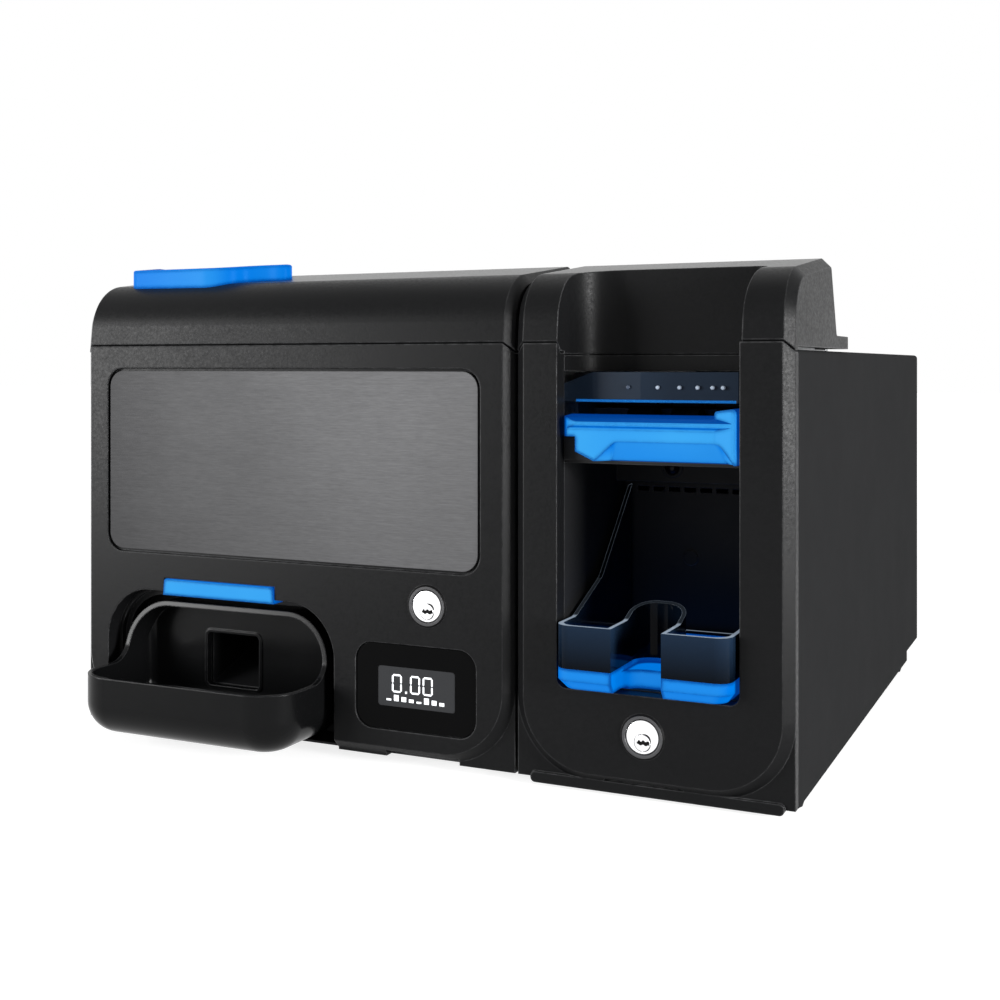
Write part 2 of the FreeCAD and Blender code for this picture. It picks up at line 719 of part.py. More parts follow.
def brushed_panel():
    """Brushed metal panel in its recess."""
    return prism("y", rounded(*PANEL, PANEL_R), 0.8, PANEL_RECESS)


def display_window():
    """Glossy window that frames the screen."""
    x0, x1, z0, z1 = DISPLAY
    gap = DISPLAY_GAP
    frame = rounded(x0 + gap, x1 - gap, z0 + gap, z1 - gap, DISPLAY_R - gap)
    window = prism("y", frame, DISPLAY_FACE, DISPLAY_RECESS)
    return window.cut(prism("y", rounded(*SCREEN, SCREEN_R), 0, DISPLAY_RECESS + 1))


def display_screen():
    """Small graphic screen, set just below the window's face."""
    return prism("y", rounded(*SCREEN, SCREEN_R), DISPLAY_FACE + 0.2, DISPLAY_RECESS)


def light_bar():
    """Light bar over the cup, slightly proud of the cover and flared at its foot."""
    x0, x1, z0, z1 = LIGHT_BAR
    front = [(x0 - 0.2, z0, 0), (x1 + 0.2, z0, 0), (x1 - 0.8, z1, 1.5), (x0 + 0.8, z1, 1.5)]
    bar = prism("y", front, -LIGHT_BAR_PROUD, COVER_BACK - 2)
    slant = sharp([(-2, z1 - 1.5), (0.5, z1 + 1), (-2, z1 + 1)])
    return bar.cut(prism("x", slant, x0 - 1, x1 + 1))


def coin_niche():
    """Lining of the niche: an arched tunnel with an inner ridge and a back wall for the coin exit."""
    foot = 3.0
    front = COVER_BACK + 0.2
    shell = prism("y", niche_arch(-0.5, foot), front, NICHE_BACK).cut(
        prism("y", niche_arch(2.2, foot - 1), front - 1, NICHE_BACK - 3))
    ridge = prism("y", niche_arch(2, foot), front + 4, front + 7).cut(
        prism("y", niche_arch(6, foot - 1), front, NICHE_BACK))
    x0, x1, z0, z1 = COIN_EXIT
    return fuse(shell, ridge).cut(box(x0 - 2, x1 + 2, NICHE_BACK - 4, NICHE_BACK + 1, z0 - 2, z1 + 2))


def cup_form(wall, top):
    """Full form of the cup, drawn in by a wall: rounded plan, rounded sole and an arched rear part."""
    x0 = CUP_X[0] + wall
    x1 = CUP_X[1] - wall
    front = wall - CUP_REACH
    back = CUP_BACK - wall
    foot = CUP_FOOT + wall
    r = CUP_CORNER_R - wall
    plan = [(x0, front, r), (x1, front, r), (x1, back, CUP_BACK_R), (x0, back, CUP_BACK_R)]
    block = prism("z", plan, foot, top)
    ground = [e for e in block.Edges if e.BoundBox.ZMax < foot + 0.01]
    sole = [e for e in ground if e.BoundBox.YMin < back - CUP_BACK_R - 0.5]
    block = block.makeFillet(CUP_SOLE_R - wall, sole)
    arch = archway(x0, x1, 0, CUP_TOP - wall, CUP_ARCH_R - wall)
    return block.common(prism("y", arch, front - 5, back + 5))


def coin_cup():
    """Coin cup: a deep bowl whose rim sweeps up into an arch inside the niche, with a framed coin exit."""
    bowl = cup_form(0, CUP_TOP + 5).cut(cup_form(CUP_WALL, CUP_TOP + 5))
    foot_y, head_y, sweep_r = CUP_SWEEP
    front = -CUP_REACH - 10
    above = CUP_TOP + 10
    sweep = [(front, CUP_RIM, 0), (foot_y, CUP_RIM, sweep_r), (head_y, above, 0), (front, above, 0)]
    bowl = bowl.cut(prism("x", sweep, CUP_X[0] - 5, CUP_X[1] + 5))
    x0, x1, z0, z1 = COIN_EXIT
    rim, proud = EXIT_FRAME
    wall_face = CUP_BACK - CUP_WALL
    frame = rounded(x0 - rim, x1 + rim, z0 - rim, z1 + rim, 3 + rim)
    frame = prism("y", frame, wall_face - proud, wall_face)
    return fuse(bowl, frame).cut(prism("y", rounded(x0, x1, z0, z1, 3), wall_face - 2, CUP_BACK + 2))


def payout_tray():
    """Chute down to the cup, with the cheeks that hold the payout belt's rollers."""
    x0, x1, z0, z1 = COIN_EXIT
    wall = CHUTE_WALL
    rear, rear_z, rear_top = CHUTE_REAR
    shoulder = BELT_Y[0] + 3
    side = sharp([(NICHE_BACK, z0 - wall), (rear, rear_z - wall), (rear, rear_top), (shoulder, rear_top),
                  (NICHE_BACK, z1 + wall)])
    floor = sharp([(NICHE_BACK, z0 - wall), (rear, rear_z - wall), (rear, rear_z), (NICHE_BACK, z0)])
    pieces = [prism("x", floor, x0 - wall, x1 + wall)]
    pieces.append(prism("x", side, x0 - wall, x0))
    pieces.append(prism("x", side, x1, x1 + wall))
    reach = BELT_R + 4
    bores = []
    for y in (BELT_Y[0] - wall - 1, BELT_Y[1] + 1):
        pieces.append(box(x1 + wall, BELT_XS[1] + reach, y, y + wall, BELT_Z - reach, BELT_Z + reach + 6))
        for x in (BELT_XS[0] - 12, BELT_XS[1] + 4):
            pieces.append(box(x, x + 8, y, y + wall, CHASSIS_FOOT + SHEET, BELT_Z - reach))
        for x in BELT_XS:
            bores.append(rod("y", x, BELT_Z, ROLLER_SHAFT_R + RUNNING, y - 1, y + wall + 1))
    return fuse(*pieces).cut(bores)


def payout_belt():
    """Flat belt round its two rollers."""
    def loop(r):
        return [(BELT_XS[0] - r, BELT_Z - r, r - 0.01), (BELT_XS[1] + r, BELT_Z - r, r - 0.01),
                (BELT_XS[1] + r, BELT_Z + r, r - 0.01), (BELT_XS[0] - r, BELT_Z + r, r - 0.01)]
    inner = BELT_R + 0.06
    belt = prism("y", loop(inner + BELT_T), *BELT_Y)
    return belt.cut(prism("y", loop(inner), BELT_Y[0] - 1, BELT_Y[1] + 1))


def belt_roller(x):
    """Roller of the payout belt on its shaft, with drive flats on the rim."""
    y0, y1 = BELT_Y
    roller = rod("y", x, BELT_Z, BELT_R, y0, y1)
    shaft = rod("y", x, BELT_Z, ROLLER_SHAFT_R, y0 - 3.5, y1 + 3.5)
    grooves = [box(x - 0.8, x + 0.8, y0 - 1, y1 + 1, BELT_Z + BELT_R - 1, BELT_Z + BELT_R + 1)]
    for turn in (90, 180, 270):
        groove = grooves[0].copy()
        groove.rotate(FreeCAD.Vector(x, 0, BELT_Z), AXES["y"], turn)
        grooves.append(groove)
    return fuse(roller.cut(grooves), shaft)


def coin_hoppers():
    """Row of narrow hoppers, each with a sloping floor and a payout mouth at the front."""
    y0, y1 = HOPPER_Y
    foot = CHASSIS_FOOT + SHEET
    wall = HOPPER_WALL
    front_floor, rear_floor = HOPPER_FLOOR
    above = HOPPER_TOP + 1
    front = y0 + wall
    rear = y1 - wall
    room = sharp([(front, front_floor), (rear, rear_floor), (rear, above), (front, above)])
    front = y0 + 30
    rear = y1 - 4
    under = sharp([(front, foot - 1), (rear, foot - 1), (rear, rear_floor - 6), (front, front_floor)])
    hoppers = []
    for i in range(HOPPERS):
        x0 = HOPPER_X0 + i * HOPPER_PITCH
        x1 = x0 + HOPPER_W
        mouth = box(x0 + 4, x1 - 4, y0 - 1, y0 + wall + 1, front_floor + 4, front_floor + 20)
        hopper = box(x0, x1, y0, y1, foot, HOPPER_TOP)
        spaces = [prism("x", profile, x0 + wall, x1 - wall) for profile in (room, under)]
        hoppers.append(hopper.cut(spaces + [mouth]))
    return group(hoppers)


def sorting_track():
    """Track over the hoppers, with a rear rail and one hole per coin size in rising order."""
    x1 = HOPPER_X0 + (HOPPERS - 1) * HOPPER_PITCH + HOPPER_W
    y0 = HOPPER_Y[0] + 2
    y1 = y0 + TRACK_W
    rail = y1 - 3
    track = box(HOPPER_X0, x1, y0, y1, HOPPER_TOP, HOPPER_TOP + 3)
    track = track.fuse(box(HOPPER_X0, x1, rail, y1, HOPPER_TOP, HOPPER_TOP + 9))
    first_r, step_r = TRACK_HOLES
    holes = []
    for i in range(HOPPERS):
        x = HOPPER_X0 + i * HOPPER_PITCH + HOPPER_W / 2
        radius = first_r + step_r * i
        holes.append(rod("z", x, rail - 2 - radius, radius, HOPPER_TOP - 1, HOPPER_TOP + 4))
    return track.cut(holes).removeSplitter()


def gear(teeth, centre, low, high, turn):
    """Spur gear with involute flanks, thinned for backlash."""
    pitch_r = GEAR_MODULE * teeth / 2
    base_r = pitch_r * math.cos(math.radians(20))
    root_r = pitch_r - 1.25 * GEAR_MODULE
    tip_r = pitch_r + 0.95 * GEAR_MODULE
    start_r = max(base_r, root_r + 0.15)

    def flank_angle(r):
        roll = math.sqrt(max(r * r / base_r ** 2 - 1, 0))
        return roll - math.atan(roll)

    half = math.pi / (2 * teeth) - GEAR_BACKLASH / pitch_r / 2 + flank_angle(pitch_r)
    radii = [root_r, start_r, (start_r + tip_r) / 2, tip_r]
    points = []
    for tooth in range(teeth):
        middle = turn + 2 * math.pi * tooth / teeth
        rising = [(r, middle - half + flank_angle(max(r, start_r))) for r in radii]
        falling = [(r, 2 * middle - angle) for r, angle in reversed(rising)]
        for r, angle in rising + falling:
            points.append((centre[0] + r * math.cos(angle), centre[1] + r * math.sin(angle)))
    return prism("z", sharp(points), low, high)


def pinion_centre():
    """Place of the motor pinion beside the sorting disc's gear."""
    return (SORTER[0] + GEAR_MODULE * (WHEEL_TEETH + PINION_TEETH) / 2 + 0.05, SORTER[1])


def sorter_deck():
    """Deck across the chassis with the sorting bowl, bored for the disc and the motor."""
    left = COIN_LEFT + 2 * SHEET + SLIDE_W
    right = COIN_RIGHT - 2 * SHEET - SLIDE_W
    top = DECK_Z + DECK_T
    x, y = SORTER
    px, py = pinion_centre()
    deck = box(left, right, *DECK_Y, DECK_Z, top)
    bowl = rod("z", x, y, BOWL_R + BOWL_WALL, DECK_Z, BOWL_TOP)
    bowl = bowl.cut(rod("z", x, y, BOWL_R, DECK_Z - 1, BOWL_TOP + 1))
    half = GEAR_MODULE * PINION_TEETH / 2 + 7
    gear_window = box(px - half, px + half, py - half, py + half, top, DISC_Z - 0.5)
    rim_y = y + BOWL_R
    exit_gap = box(x - 18, x + 18, rim_y - 12, rim_y + 12, DISC_Z + 2, BOWL_TOP + 1)
    boss = rod("z", x, y, 9, DECK_Z - AXLE_BOSS, DECK_Z)
    bores = [rod("z", x, y, AXLE_R + RUNNING, DECK_Z - AXLE_BOSS - 1, top + 1)]
    bores.append(rod("z", px, py, PINION_SHAFT_R + 2, DECK_Z - 1, top + 1))
    return fuse(deck, bowl.cut([gear_window, exit_gap]), boss).cut(bores)


def sorting_disc():
    """Ribbed disc that lifts coins to the track, with its gear and axle underneath."""
    x, y = SORTER
    face = DISC_Z + DISC_T
    disc = rod("z", x, y, DISC_R, DISC_Z, face)
    dome = Part.makeCone(18, 5, 8, FreeCAD.Vector(x, y, face))
    wheel = gear(WHEEL_TEETH, SORTER, GEAR_Z, GEAR_Z + GEAR_H, 0)
    hub = rod("z", x, y, 14, GEAR_Z + GEAR_H, DISC_Z)
    axle = rod("z", x, y, AXLE_R, DECK_Z - AXLE_BOSS, GEAR_Z)
    ribs = []
    for i in range(DISC_RIBS):
        rib = box(x + 22, x + DISC_R - 3, y - 1.5, y + 1.5, face, face + 2)
        rib.rotate(FreeCAD.Vector(x, y, 0), AXES["z"], 360 / DISC_RIBS * i)
        ribs.append(rib)
    return fuse(disc, dome, wheel, hub, axle, *ribs)


def sorter_pinion():
    """Motor pinion and its shaft."""
    centre = pinion_centre()
    teeth = gear(PINION_TEETH, centre, GEAR_Z, GEAR_Z + GEAR_H, math.pi / PINION_TEETH)
    return fuse(teeth, rod("z", *centre, PINION_SHAFT_R, DECK_Z - AXLE_BOSS, GEAR_Z))


def sorter_motor():
    """Gear motor hung under the deck."""
    x, y = pinion_centre()
    flange_z = DECK_Z - 6
    body = rod("z", x, y, MOTOR_R, DECK_Z - MOTOR_H, flange_z)
    cap = rod("z", x, y, MOTOR_R - 5, DECK_Z - MOTOR_H - 6, DECK_Z - MOTOR_H)
    flange = prism("z", rounded(x - MOTOR_R - 4, x + MOTOR_R + 4, y - 15, y + 15, 5), flange_z, DECK_Z)
    bore = rod("z", x, y, PINION_SHAFT_R + RUNNING, DECK_Z - AXLE_BOSS, DECK_Z + 1)
    return fuse(body, cap, flange).cut(bore)


def control_board():
    """Circuit board behind the display, on four stand-offs, with a few large components."""
    x0, x1, z0, z1 = BOARD
    y = COVER_BACK + BOARD_STAND_OFF
    face = y + 1.6
    board = box(x0, x1, y, face, z0, z1)
    posts = [rod("y", x, z, 2.5, COVER_BACK, y) for x in (x0 + 5, x1 - 5) for z in (z0 + 16, z1 - 5)]
    chip = box(x0 + 18, x0 + 36, face, face + 2.4, z0 + 26, z0 + 44)
    connector = box(x0 + 48, x0 + 54, face, face + 7.4, z0 + 6, z0 + 56)
    converter = box(x1 - 26, x1 - 6, face, face + 10.4, z0 + 8, z0 + 20)
    return fuse(board, *posts, chip, connector, converter)


def coin_hood():
    """Hood of the coin module with the opening for the inlet tray."""
    hood = hood_block(COIN_LEFT, COIN_RIGHT).cut(hood_hollow(COIN_LEFT, COIN_RIGHT))
    opening = inset(INLET_OUTLINE, [1.5] * len(INLET_OUTLINE))
    return hood.cut(hinge_cuts(COIN_LEFT, COIN_RIGHT) + [prism("z", opening, INLET_FOOT, INLET_TOP)])


def coin_inlet():
    """Coin inlet: a raised tray that funnels coins down through the hood."""
    edges = len(INLET_OUTLINE)
    tray = prism("z", INLET_OUTLINE, INLET_FOOT, INLET_TOP).cut(hood_block(COIN_LEFT, COIN_RIGHT))
    low_y, high_y = INLET_SLOPE
    above = INLET_TOP + 20
    low = INLET_FRONT_TOP
    slope = sharp([(0, low), (low_y, low), (high_y, INLET_TOP), (high_y, above), (0, above)])
    tray = tray.cut(prism("x", slope, COIN_LEFT, COIN_RIGHT))
    rim = [e for e in tray.Edges if e.BoundBox.ZMin > low - 0.1 and abs(e.BoundBox.Center.y - high_y) > 0.1]
    tray = tray.makeFillet(INLET_RIM_R, rim)
    shoulder = FUNNEL_FOOT + 14
    neck = prism("z", inset(INLET_OUTLINE, [1.8] * edges), shoulder, INLET_FLOOR + 4)
    throat = inset(rounded(*FUNNEL_THROAT, 1), [-3] * 4)
    tray = fuse(tray, neck, prism("z", throat, FUNNEL_FOOT, shoulder))
    basin = prism("z", inset(INLET_OUTLINE, [INLET_WALL] * edges), INLET_FLOOR, above)
    funnel = loft("z", rounded(*FUNNEL_TOP, 6), INLET_FLOOR, rounded(*FUNNEL_THROAT, 3), shoulder - 2)
    drop = prism("z", rounded(*FUNNEL_THROAT, 3), FUNNEL_FOOT - 1, shoulder - 1.5)
    return tray.cut([basin, funnel, drop])


# Banknote drawer


def scoop_corners(edge):
    """Plan of the finger scoop over the banknote mouth, grown by an edge distance."""
    left = MOUTH[0]
    right_front, right_back = SCOOP_RIGHT
    front = [(left, -20, 0), (right_front, -20, 0)]
    back = [(right_back, SCOOP_DEPTH, 8), (left, SCOOP_DEPTH, SCOOP_R)]
    return inset(front + back, [-edge] * 4)


def note_front_cover():
    """Cover of the banknote module, open over the mouth and the pocket, with a pull lip at its foot."""
    cover = cover_blank(NOTE_LEFT, NOTE_RIGHT).fuse(lock_ring(NOTE_LOCK))
    mouth = [(MOUTH[0], MOUTH_FOOT, MOUTH_R), (MOUTH[1], MOUTH_FOOT, MOUTH_R),
             (MOUTH[1], SEAM_TOP + 30, 0), (MOUTH[0], SEAM_TOP + 30, 0)]
    cuts = [prism("y", mouth, -1, COVER_BACK + 1)] + lock_seat(NOTE_LOCK)
    cuts.append(prism("y", rounded(386, 436, -4, COVER_FOOT + 4, 3), -1, BEVEL))
    lip = prism("y", rounded(NOTE_LEFT + 9, NOTE_RIGHT - 6, -2.5, 4, 3), BEVEL - 2, COVER_BACK - 2)
    return cover.cut(cuts).fuse(lip).removeSplitter()


def inlet_shroud():
    """Curved wall that carries the scoop on below the seam, with a fence that stands up behind the hood."""
    low, high = SHROUD
    fence_in, fence_out, fence_foot, fence_top = SHROUD_FENCE
    wall = prism("z", scoop_corners(HOOD_WALL), low, high)
    wall = wall.cut(box(NOTE_LEFT, NOTE_RIGHT, -60, COVER_BACK, low - 1, high + 1))
    fence = prism("z", scoop_corners(fence_out), low, fence_top)
    fence = fence.cut(prism("z", scoop_corners(fence_in), fence_foot, fence_top + 1))
    fence = fence.cut(box(NOTE_LEFT, NOTE_RIGHT, -60, CREST_Y[0], low - 1, fence_top + 1))
    return fuse(wall, fence).cut(prism("z", scoop_corners(0), low - 1, fence_top + 1))


def inlet_bezel():
    """Upper jaw of the banknote mouth: shallow facets, a sloping left end and a row of indicator holes."""
    x0, x1 = BEZEL_X[0], BEZEL_X[-1]
    left_top, top = BEZEL_TOPS
    plan = list(zip(BEZEL_X, BEZEL_Y)) + [(x1, BEZEL_BACK), (x0, BEZEL_BACK)]
    jaw = prism("z", sharp(plan), BEZEL_Z, top)
    slope = sharp([(x0, left_top), (BEZEL_X[1], top), (x0, top)])
    hollow = box(x0 + 2, x1 - 2, BEZEL_HOLLOW, BEZEL_BACK + 1, BEZEL_Z - 1, BEZEL_Z + 9)
    holes = [rod("y", x, LED_Z, LED_R, min(BEZEL_Y) - 5, LED_BACK) for x in LED_XS]
    return jaw.cut([prism("y", slope, 0, BEZEL_BACK + 1), hollow, mouth_light()] + holes)


def bezel_front(x):
    """Depth of the upper jaw's front at a place along it."""
    corners = list(zip(BEZEL_X, BEZEL_Y))
    for (x0, y0), (x1, y1) in zip(corners, corners[1:]):
        if x <= x1:
            return y0 + (y1 - y0) * (x - x0) / (x1 - x0)
    return BEZEL_Y[-1]


def mouth_light():
    """Light guide along the lower front edge of the upper jaw."""
    left, right, height, depth = MOUTH_LIGHT
    front = [(x, bezel_front(x)) for x in (left, *BEZEL_X[1:-1], right)]
    back = [(x, y + depth) for x, y in reversed(front)]
    return prism("z", sharp(front + back), BEZEL_Z, BEZEL_Z + height)


def inlet_leds():
    """Row of indicator lenses in the upper jaw."""
    return group([rod("y", x, LED_Z, LED_R, LED_FRONT, LED_BACK) for x in LED_XS])


def inlet_lip():
    """Lower jaw of the banknote mouth: a rolled rim over a set-back face, relieved underneath for the
    fingers, with an ear on the right."""
    x0, x1, z0, z1 = LIP
    back = LIP_BACK
    face = LIP_FACE
    profile = [(back, z0, 0), (back, z1 + 1.5, 2), (3, z1, 2.2), (0, z1 - 2.2, 1.4), (0.4, z1 - 5, 1.2),
               (face, z1 - 6, 1.8), (face, z0, 0)]
    ear_x, ear_z = LIP_EAR
    ear = [(ear_x, z0, 0), (x1, z0, 0), (x1, ear_z, 3), (ear_x, ear_z - 2, 2)]
    cheek = [(ear_x, face, 0), (x1 - 2.5, 0, 3), (x1, 0, 1), (x1, back, 0), (ear_x, back, 0)]
    ear = prism("y", ear, -1, back + 1).common(prism("z", cheek, z0, ear_z))
    lip = fuse(prism("x", profile, x0, x1), ear)
    plan = [(x0, 0, LIP_END_R), (x1, 0, 1.5), (x1, back, 0), (x0, back, 0)]
    lip = lip.common(prism("z", plan, z0, ear_z))
    at_face = [(380.2, z0 - 0.1, 0), (466.2, z0 - 0.1, 0), (456.5, z0 + 12, 8), (393.5, z0 + 12, 6)]
    at_depth = [(388, z0 - 0.1, 0), (460, z0 - 0.1, 0), (459.6, z0 + 0.4, 0.1), (388.4, z0 + 0.4, 0.1)]
    relief = [prism("y", at_face, -1, face), loft("y", at_face, face, at_depth, 12)]
    in_x, out_x, low, high = LIP_NOTCH
    out = x0 - 1
    notch = sharp([(out, high), (out, z0 - 1), (out_x, z0 - 1), (out_x, z0), (in_x, low), (in_x, high)])
    return lip.cut(relief + [prism("y", notch, -1, back + 1)]).removeSplitter()


def outlet_pocket():
    """Lining of the payout pocket: side walls, floor, roof with a post beside the lip, and payout slots."""
    wall = POCKET_WALL
    x0, x1 = MOUTH
    inner_back = POCKET_BACK - wall
    inner_top = POCKET_TOP - wall
    block = box(x0 - wall, x1 + wall, COVER_BACK, POCKET_BACK, POCKET_FOOT, POCKET_TOP)
    block = block.cut(box(x0, x1, COVER_BACK - 1, inner_back, POCKET_FOOT + wall, inner_top))
    bar_depth, bar_h = PAYOUT_BAR
    bar = box(x0, x1, inner_back - bar_depth, inner_back, inner_top - bar_h, inner_top)
    sensor = rod("y", *POCKET_SENSOR, inner_back - 1.2, inner_back)
    notch_x, notch_end, notch_low, notch_high = LIP_NOTCH
    play = 0.5
    post = [(x0 + play, POCKET_TOP, 0), (notch_end - 2.2, POCKET_TOP, 0),
            (notch_x - play, notch_low - play, 2), (notch_x - play, notch_high - play, 0),
            (x0 + play, notch_high - play, 0)]
    post = prism("y", post, *LIP_POST_Y)
    slot_w, slot_low, slot_high = PAYOUT_SLOT
    slots = []
    for i in range(PAYOUT_SLOTS):
        x = PAYOUT_X0 + i * PAYOUT_PITCH
        slots.append(box(x, x + slot_w, inner_back - 1, POCKET_BACK + 1, slot_low, slot_high))
    return fuse(block, bar, sensor, post).cut(slots)


def tray_plan(edge):
    """Plan of the outlet tray, drawn in by an edge distance."""
    x0, x1, front = TRAY
    return [(x0 + edge, front + edge, 9), (x1 - edge, front + edge, 9),
            (x1 - edge, GUARD_BACK - edge, 2), (x0 + edge, GUARD_BACK - edge, 2)]


def thumb_plan(end, edge):
    """Plan of the thumb recess, open to the front, drawn in by an edge distance."""
    x0, x1 = THUMB
    return inset([(x0, -30, 0), (x1, -30, 0), (x1, end, THUMB_R), (x0, end, THUMB_R)], [edge] * 4)


def outlet_tray():
    """Tray at the foot of the pocket, with a stepped thumb recess. It is parted into blocks round the recess."""
    foot = POCKET_FOOT + POCKET_WALL
    nose = loft("z", tray_plan(NOSE_INSET), NOSE_FOOT, tray_plan(0), NOSE_FULL)
    upper = prism("z", tray_plan(0), NOSE_FULL, TRAY_TOP)
    upper = upper.cut(prism("z", tray_plan(GUARD_WALL), TRAY_FLOOR, TRAY_TOP + 1))
    x0, x1, _ = TRAY
    margin = NOSE_INSET + 1
    seat = box(x0 + margin, x1 - margin, COVER_BACK + 0.5, GUARD_BACK - margin, foot, NOSE_FULL)
    step_y, step_z = THUMB_STEP
    rim = prism("z", thumb_plan(THUMB_END, -GUARD_WALL), NOSE_FULL, TRAY_TOP)
    rim = rim.common(prism("z", tray_plan(0), NOSE_FULL, TRAY_TOP))
    low_recess = prism("z", thumb_plan(step_y, 0), foot - 1, step_z)
    high_recess = prism("z", thumb_plan(THUMB_END, 0), step_z, TRAY_TOP + 1)
    tray = fuse(nose, upper, seat, rim).cut([low_recess, high_recess])
    left, right = THUMB
    depth = (TRAY[2] - 1, GUARD_BACK + 1)
    beside = [box(x0 - 1, left, *depth, foot, TRAY_TOP), box(right, x1 + 1, *depth, foot, TRAY_TOP)]
    between = [box(left, right, *depth, foot, step_z), box(left, right, *depth, step_z, TRAY_TOP)]
    return group([solid for block in beside + between for solid in tray.common(block).Solids])


def outlet_guard():
    """Smoked guard on the tray: a front wall, side walls that rise to the back and the recess's wall."""
    inside = prism("z", tray_plan(0), TRAY_TOP, GUARD_PEAK)
    wall = inside.cut(prism("z", tray_plan(GUARD_WALL), TRAY_TOP - 1, GUARD_PEAK + 1))
    wall = wall.fuse(prism("z", thumb_plan(THUMB_END, -GUARD_WALL), TRAY_TOP, GUARD_PEAK).common(inside))
    end = GUARD_BACK + 1
    over = GUARD_PEAK + 10
    knees = [(y, z, 10) for y, z in GUARD_KNEES]
    rim = [(-40, GUARD_RIM, 0)] + knees + [(end, GUARD_PEAK, 0), (end, over, 0), (-40, over, 0)]
    wall = wall.cut(prism("x", rim, TRAY[0] - 1, TRAY[1] + 1))
    x0, x1, _ = TRAY
    rear = box(x0 + GUARD_WALL, x1 - GUARD_WALL, GUARD_BACK - 10, end, TRAY_TOP + 2, over)
    return wall.cut([rear, prism("z", thumb_plan(THUMB_END, 0), TRAY_TOP - 1, over)]).removeSplitter()


def note_validator():
    """Banknote path: guide blocks above and below it and a deflector behind them, between cheeks that hold
    the feed rollers."""
    left = NOTE_LEFT + 2 * SHEET + SLIDE_W
    right = NOTE_RIGHT - 2 * SHEET - SLIDE_W
    top = VALIDATOR_TOP
    front = BEZEL_BACK
    rear = VALIDATOR_END
    guide = FEED_Y + FEED_R + 4
    guide_end = rear - DEFLECTOR[0] - DEFLECTOR[1]
    pieces = []
    for x in (left, right - VALIDATOR_CHEEK):
        pieces.append(box(x, x + VALIDATOR_CHEEK, front, rear, POCKET_TOP, top))
    pieces.append(box(left, right, front, front + 4, NOTE_PATH_Z + 5, top))
    pieces.append(box(left, right, guide, guide_end, POCKET_TOP, NOTE_PATH_Z - NOTE_PATH_GAP / 2))
    pieces.append(box(left, right, guide, guide_end, NOTE_PATH_Z + NOTE_PATH_GAP / 2, top))
    pieces.append(box(left, right, rear - DEFLECTOR[0], rear, POCKET_TOP + 8, top))
    bores = []
    for side in (1, -1):
        z = NOTE_PATH_Z + side * (FEED_R + FEED_NIP / 2)
        bores.append(rod("x", FEED_Y, z, FEED_SHAFT_R + RUNNING, left - 1, right + 1))
    return fuse(*pieces).cut(bores)


def feed_roller(side):
    """Feed roller: a shaft with three tyres, above or below the banknote path."""
    left = NOTE_LEFT + 2 * SHEET + SLIDE_W
    right = NOTE_RIGHT - 2 * SHEET - SLIDE_W
    z = NOTE_PATH_Z + side * (FEED_R + FEED_NIP / 2)
    tyres = [rod("x", FEED_Y, z, FEED_R, x, x + TYRE_W) for x in TYRE_XS]
    return fuse(rod("x", FEED_Y, z, FEED_SHAFT_R, left + 0.1, right - 0.1), *tyres)


def storage_drum(y):
    """Drum that winds banknotes between two flanges, each lightened by a ring of windows."""
    left = NOTE_LEFT + SHEET + SLIDE_W
    right = NOTE_RIGHT - SHEET - SLIDE_W
    x0, x1 = DRUM_X
    pieces = [rod("x", y, DRUM_Z, DRUM_CORE_R, x0, x1)]
    pieces.append(rod("x", y, DRUM_Z, AXLE_R, left + 0.2, right - 0.2))
    inner = DRUM_CORE_R + 4
    outer = DRUM_R - 5
    window = sharp([(y + inner, DRUM_Z - 4), (y + outer, DRUM_Z - 11), (y + outer, DRUM_Z + 11),
                    (y + inner, DRUM_Z + 4)])
    for x in (x0 - DRUM_FLANGE, x1):
        windows = []
        for i in range(DRUM_WINDOWS):
            opening = prism("x", window, x - 1, x + DRUM_FLANGE + 1)
            opening.rotate(FreeCAD.Vector(x, y, DRUM_Z), AXES["x"], 360 / DRUM_WINDOWS * i)
            windows.append(opening)
        pieces.append(rod("x", y, DRUM_Z, DRUM_R, x, x + DRUM_FLANGE).cut(windows))
    return fuse(*pieces)


def note_chassis():
    """Chassis of the banknote drawer, bored for the drum axles."""
    tray = chassis(NOTE_LEFT, NOTE_RIGHT, CHASSIS_FRONT + 4, NOTE_TALL_TO)
    bores = [rod("x", y, DRUM_Z, AXLE_R + RUNNING, NOTE_LEFT, NOTE_RIGHT) for y in DRUM_YS]
    return tray.cut(bores)


def note_cassette():
    """Lift-out cash cassette with a groove round its lid, a hand grip and a banknote slot."""
    x0, x1, y0, y1 = CASSETTE
    body = prism("z", rounded(x0, x1, y0, y1, CASSETTE_R), CHASSIS_FOOT + SHEET, CASSETTE_TOP)
    groove = CASSETTE_TOP - 18
    core = prism("z", rounded(x0 + 1, x1 - 1, y0 + 1, y1 - 1, CASSETTE_R - 1), groove, groove + 2)
    ring = box(x0 - 1, x1 + 1, y0 - 1, y1 + 1, groove, groove + 2).cut(core)
    grip = prism("y", rounded(x0 + 38, x1 - 38, CASSETTE_TOP - 50, CASSETTE_TOP - 28, 8), y0 - 1, y0 + 12)
    slot = box(x0 + 20, x1 - 20, y0 + 55, y0 + 59, CASSETTE_TOP - 10, CASSETTE_TOP + 1)
    return body.cut([ring, grip, slot])


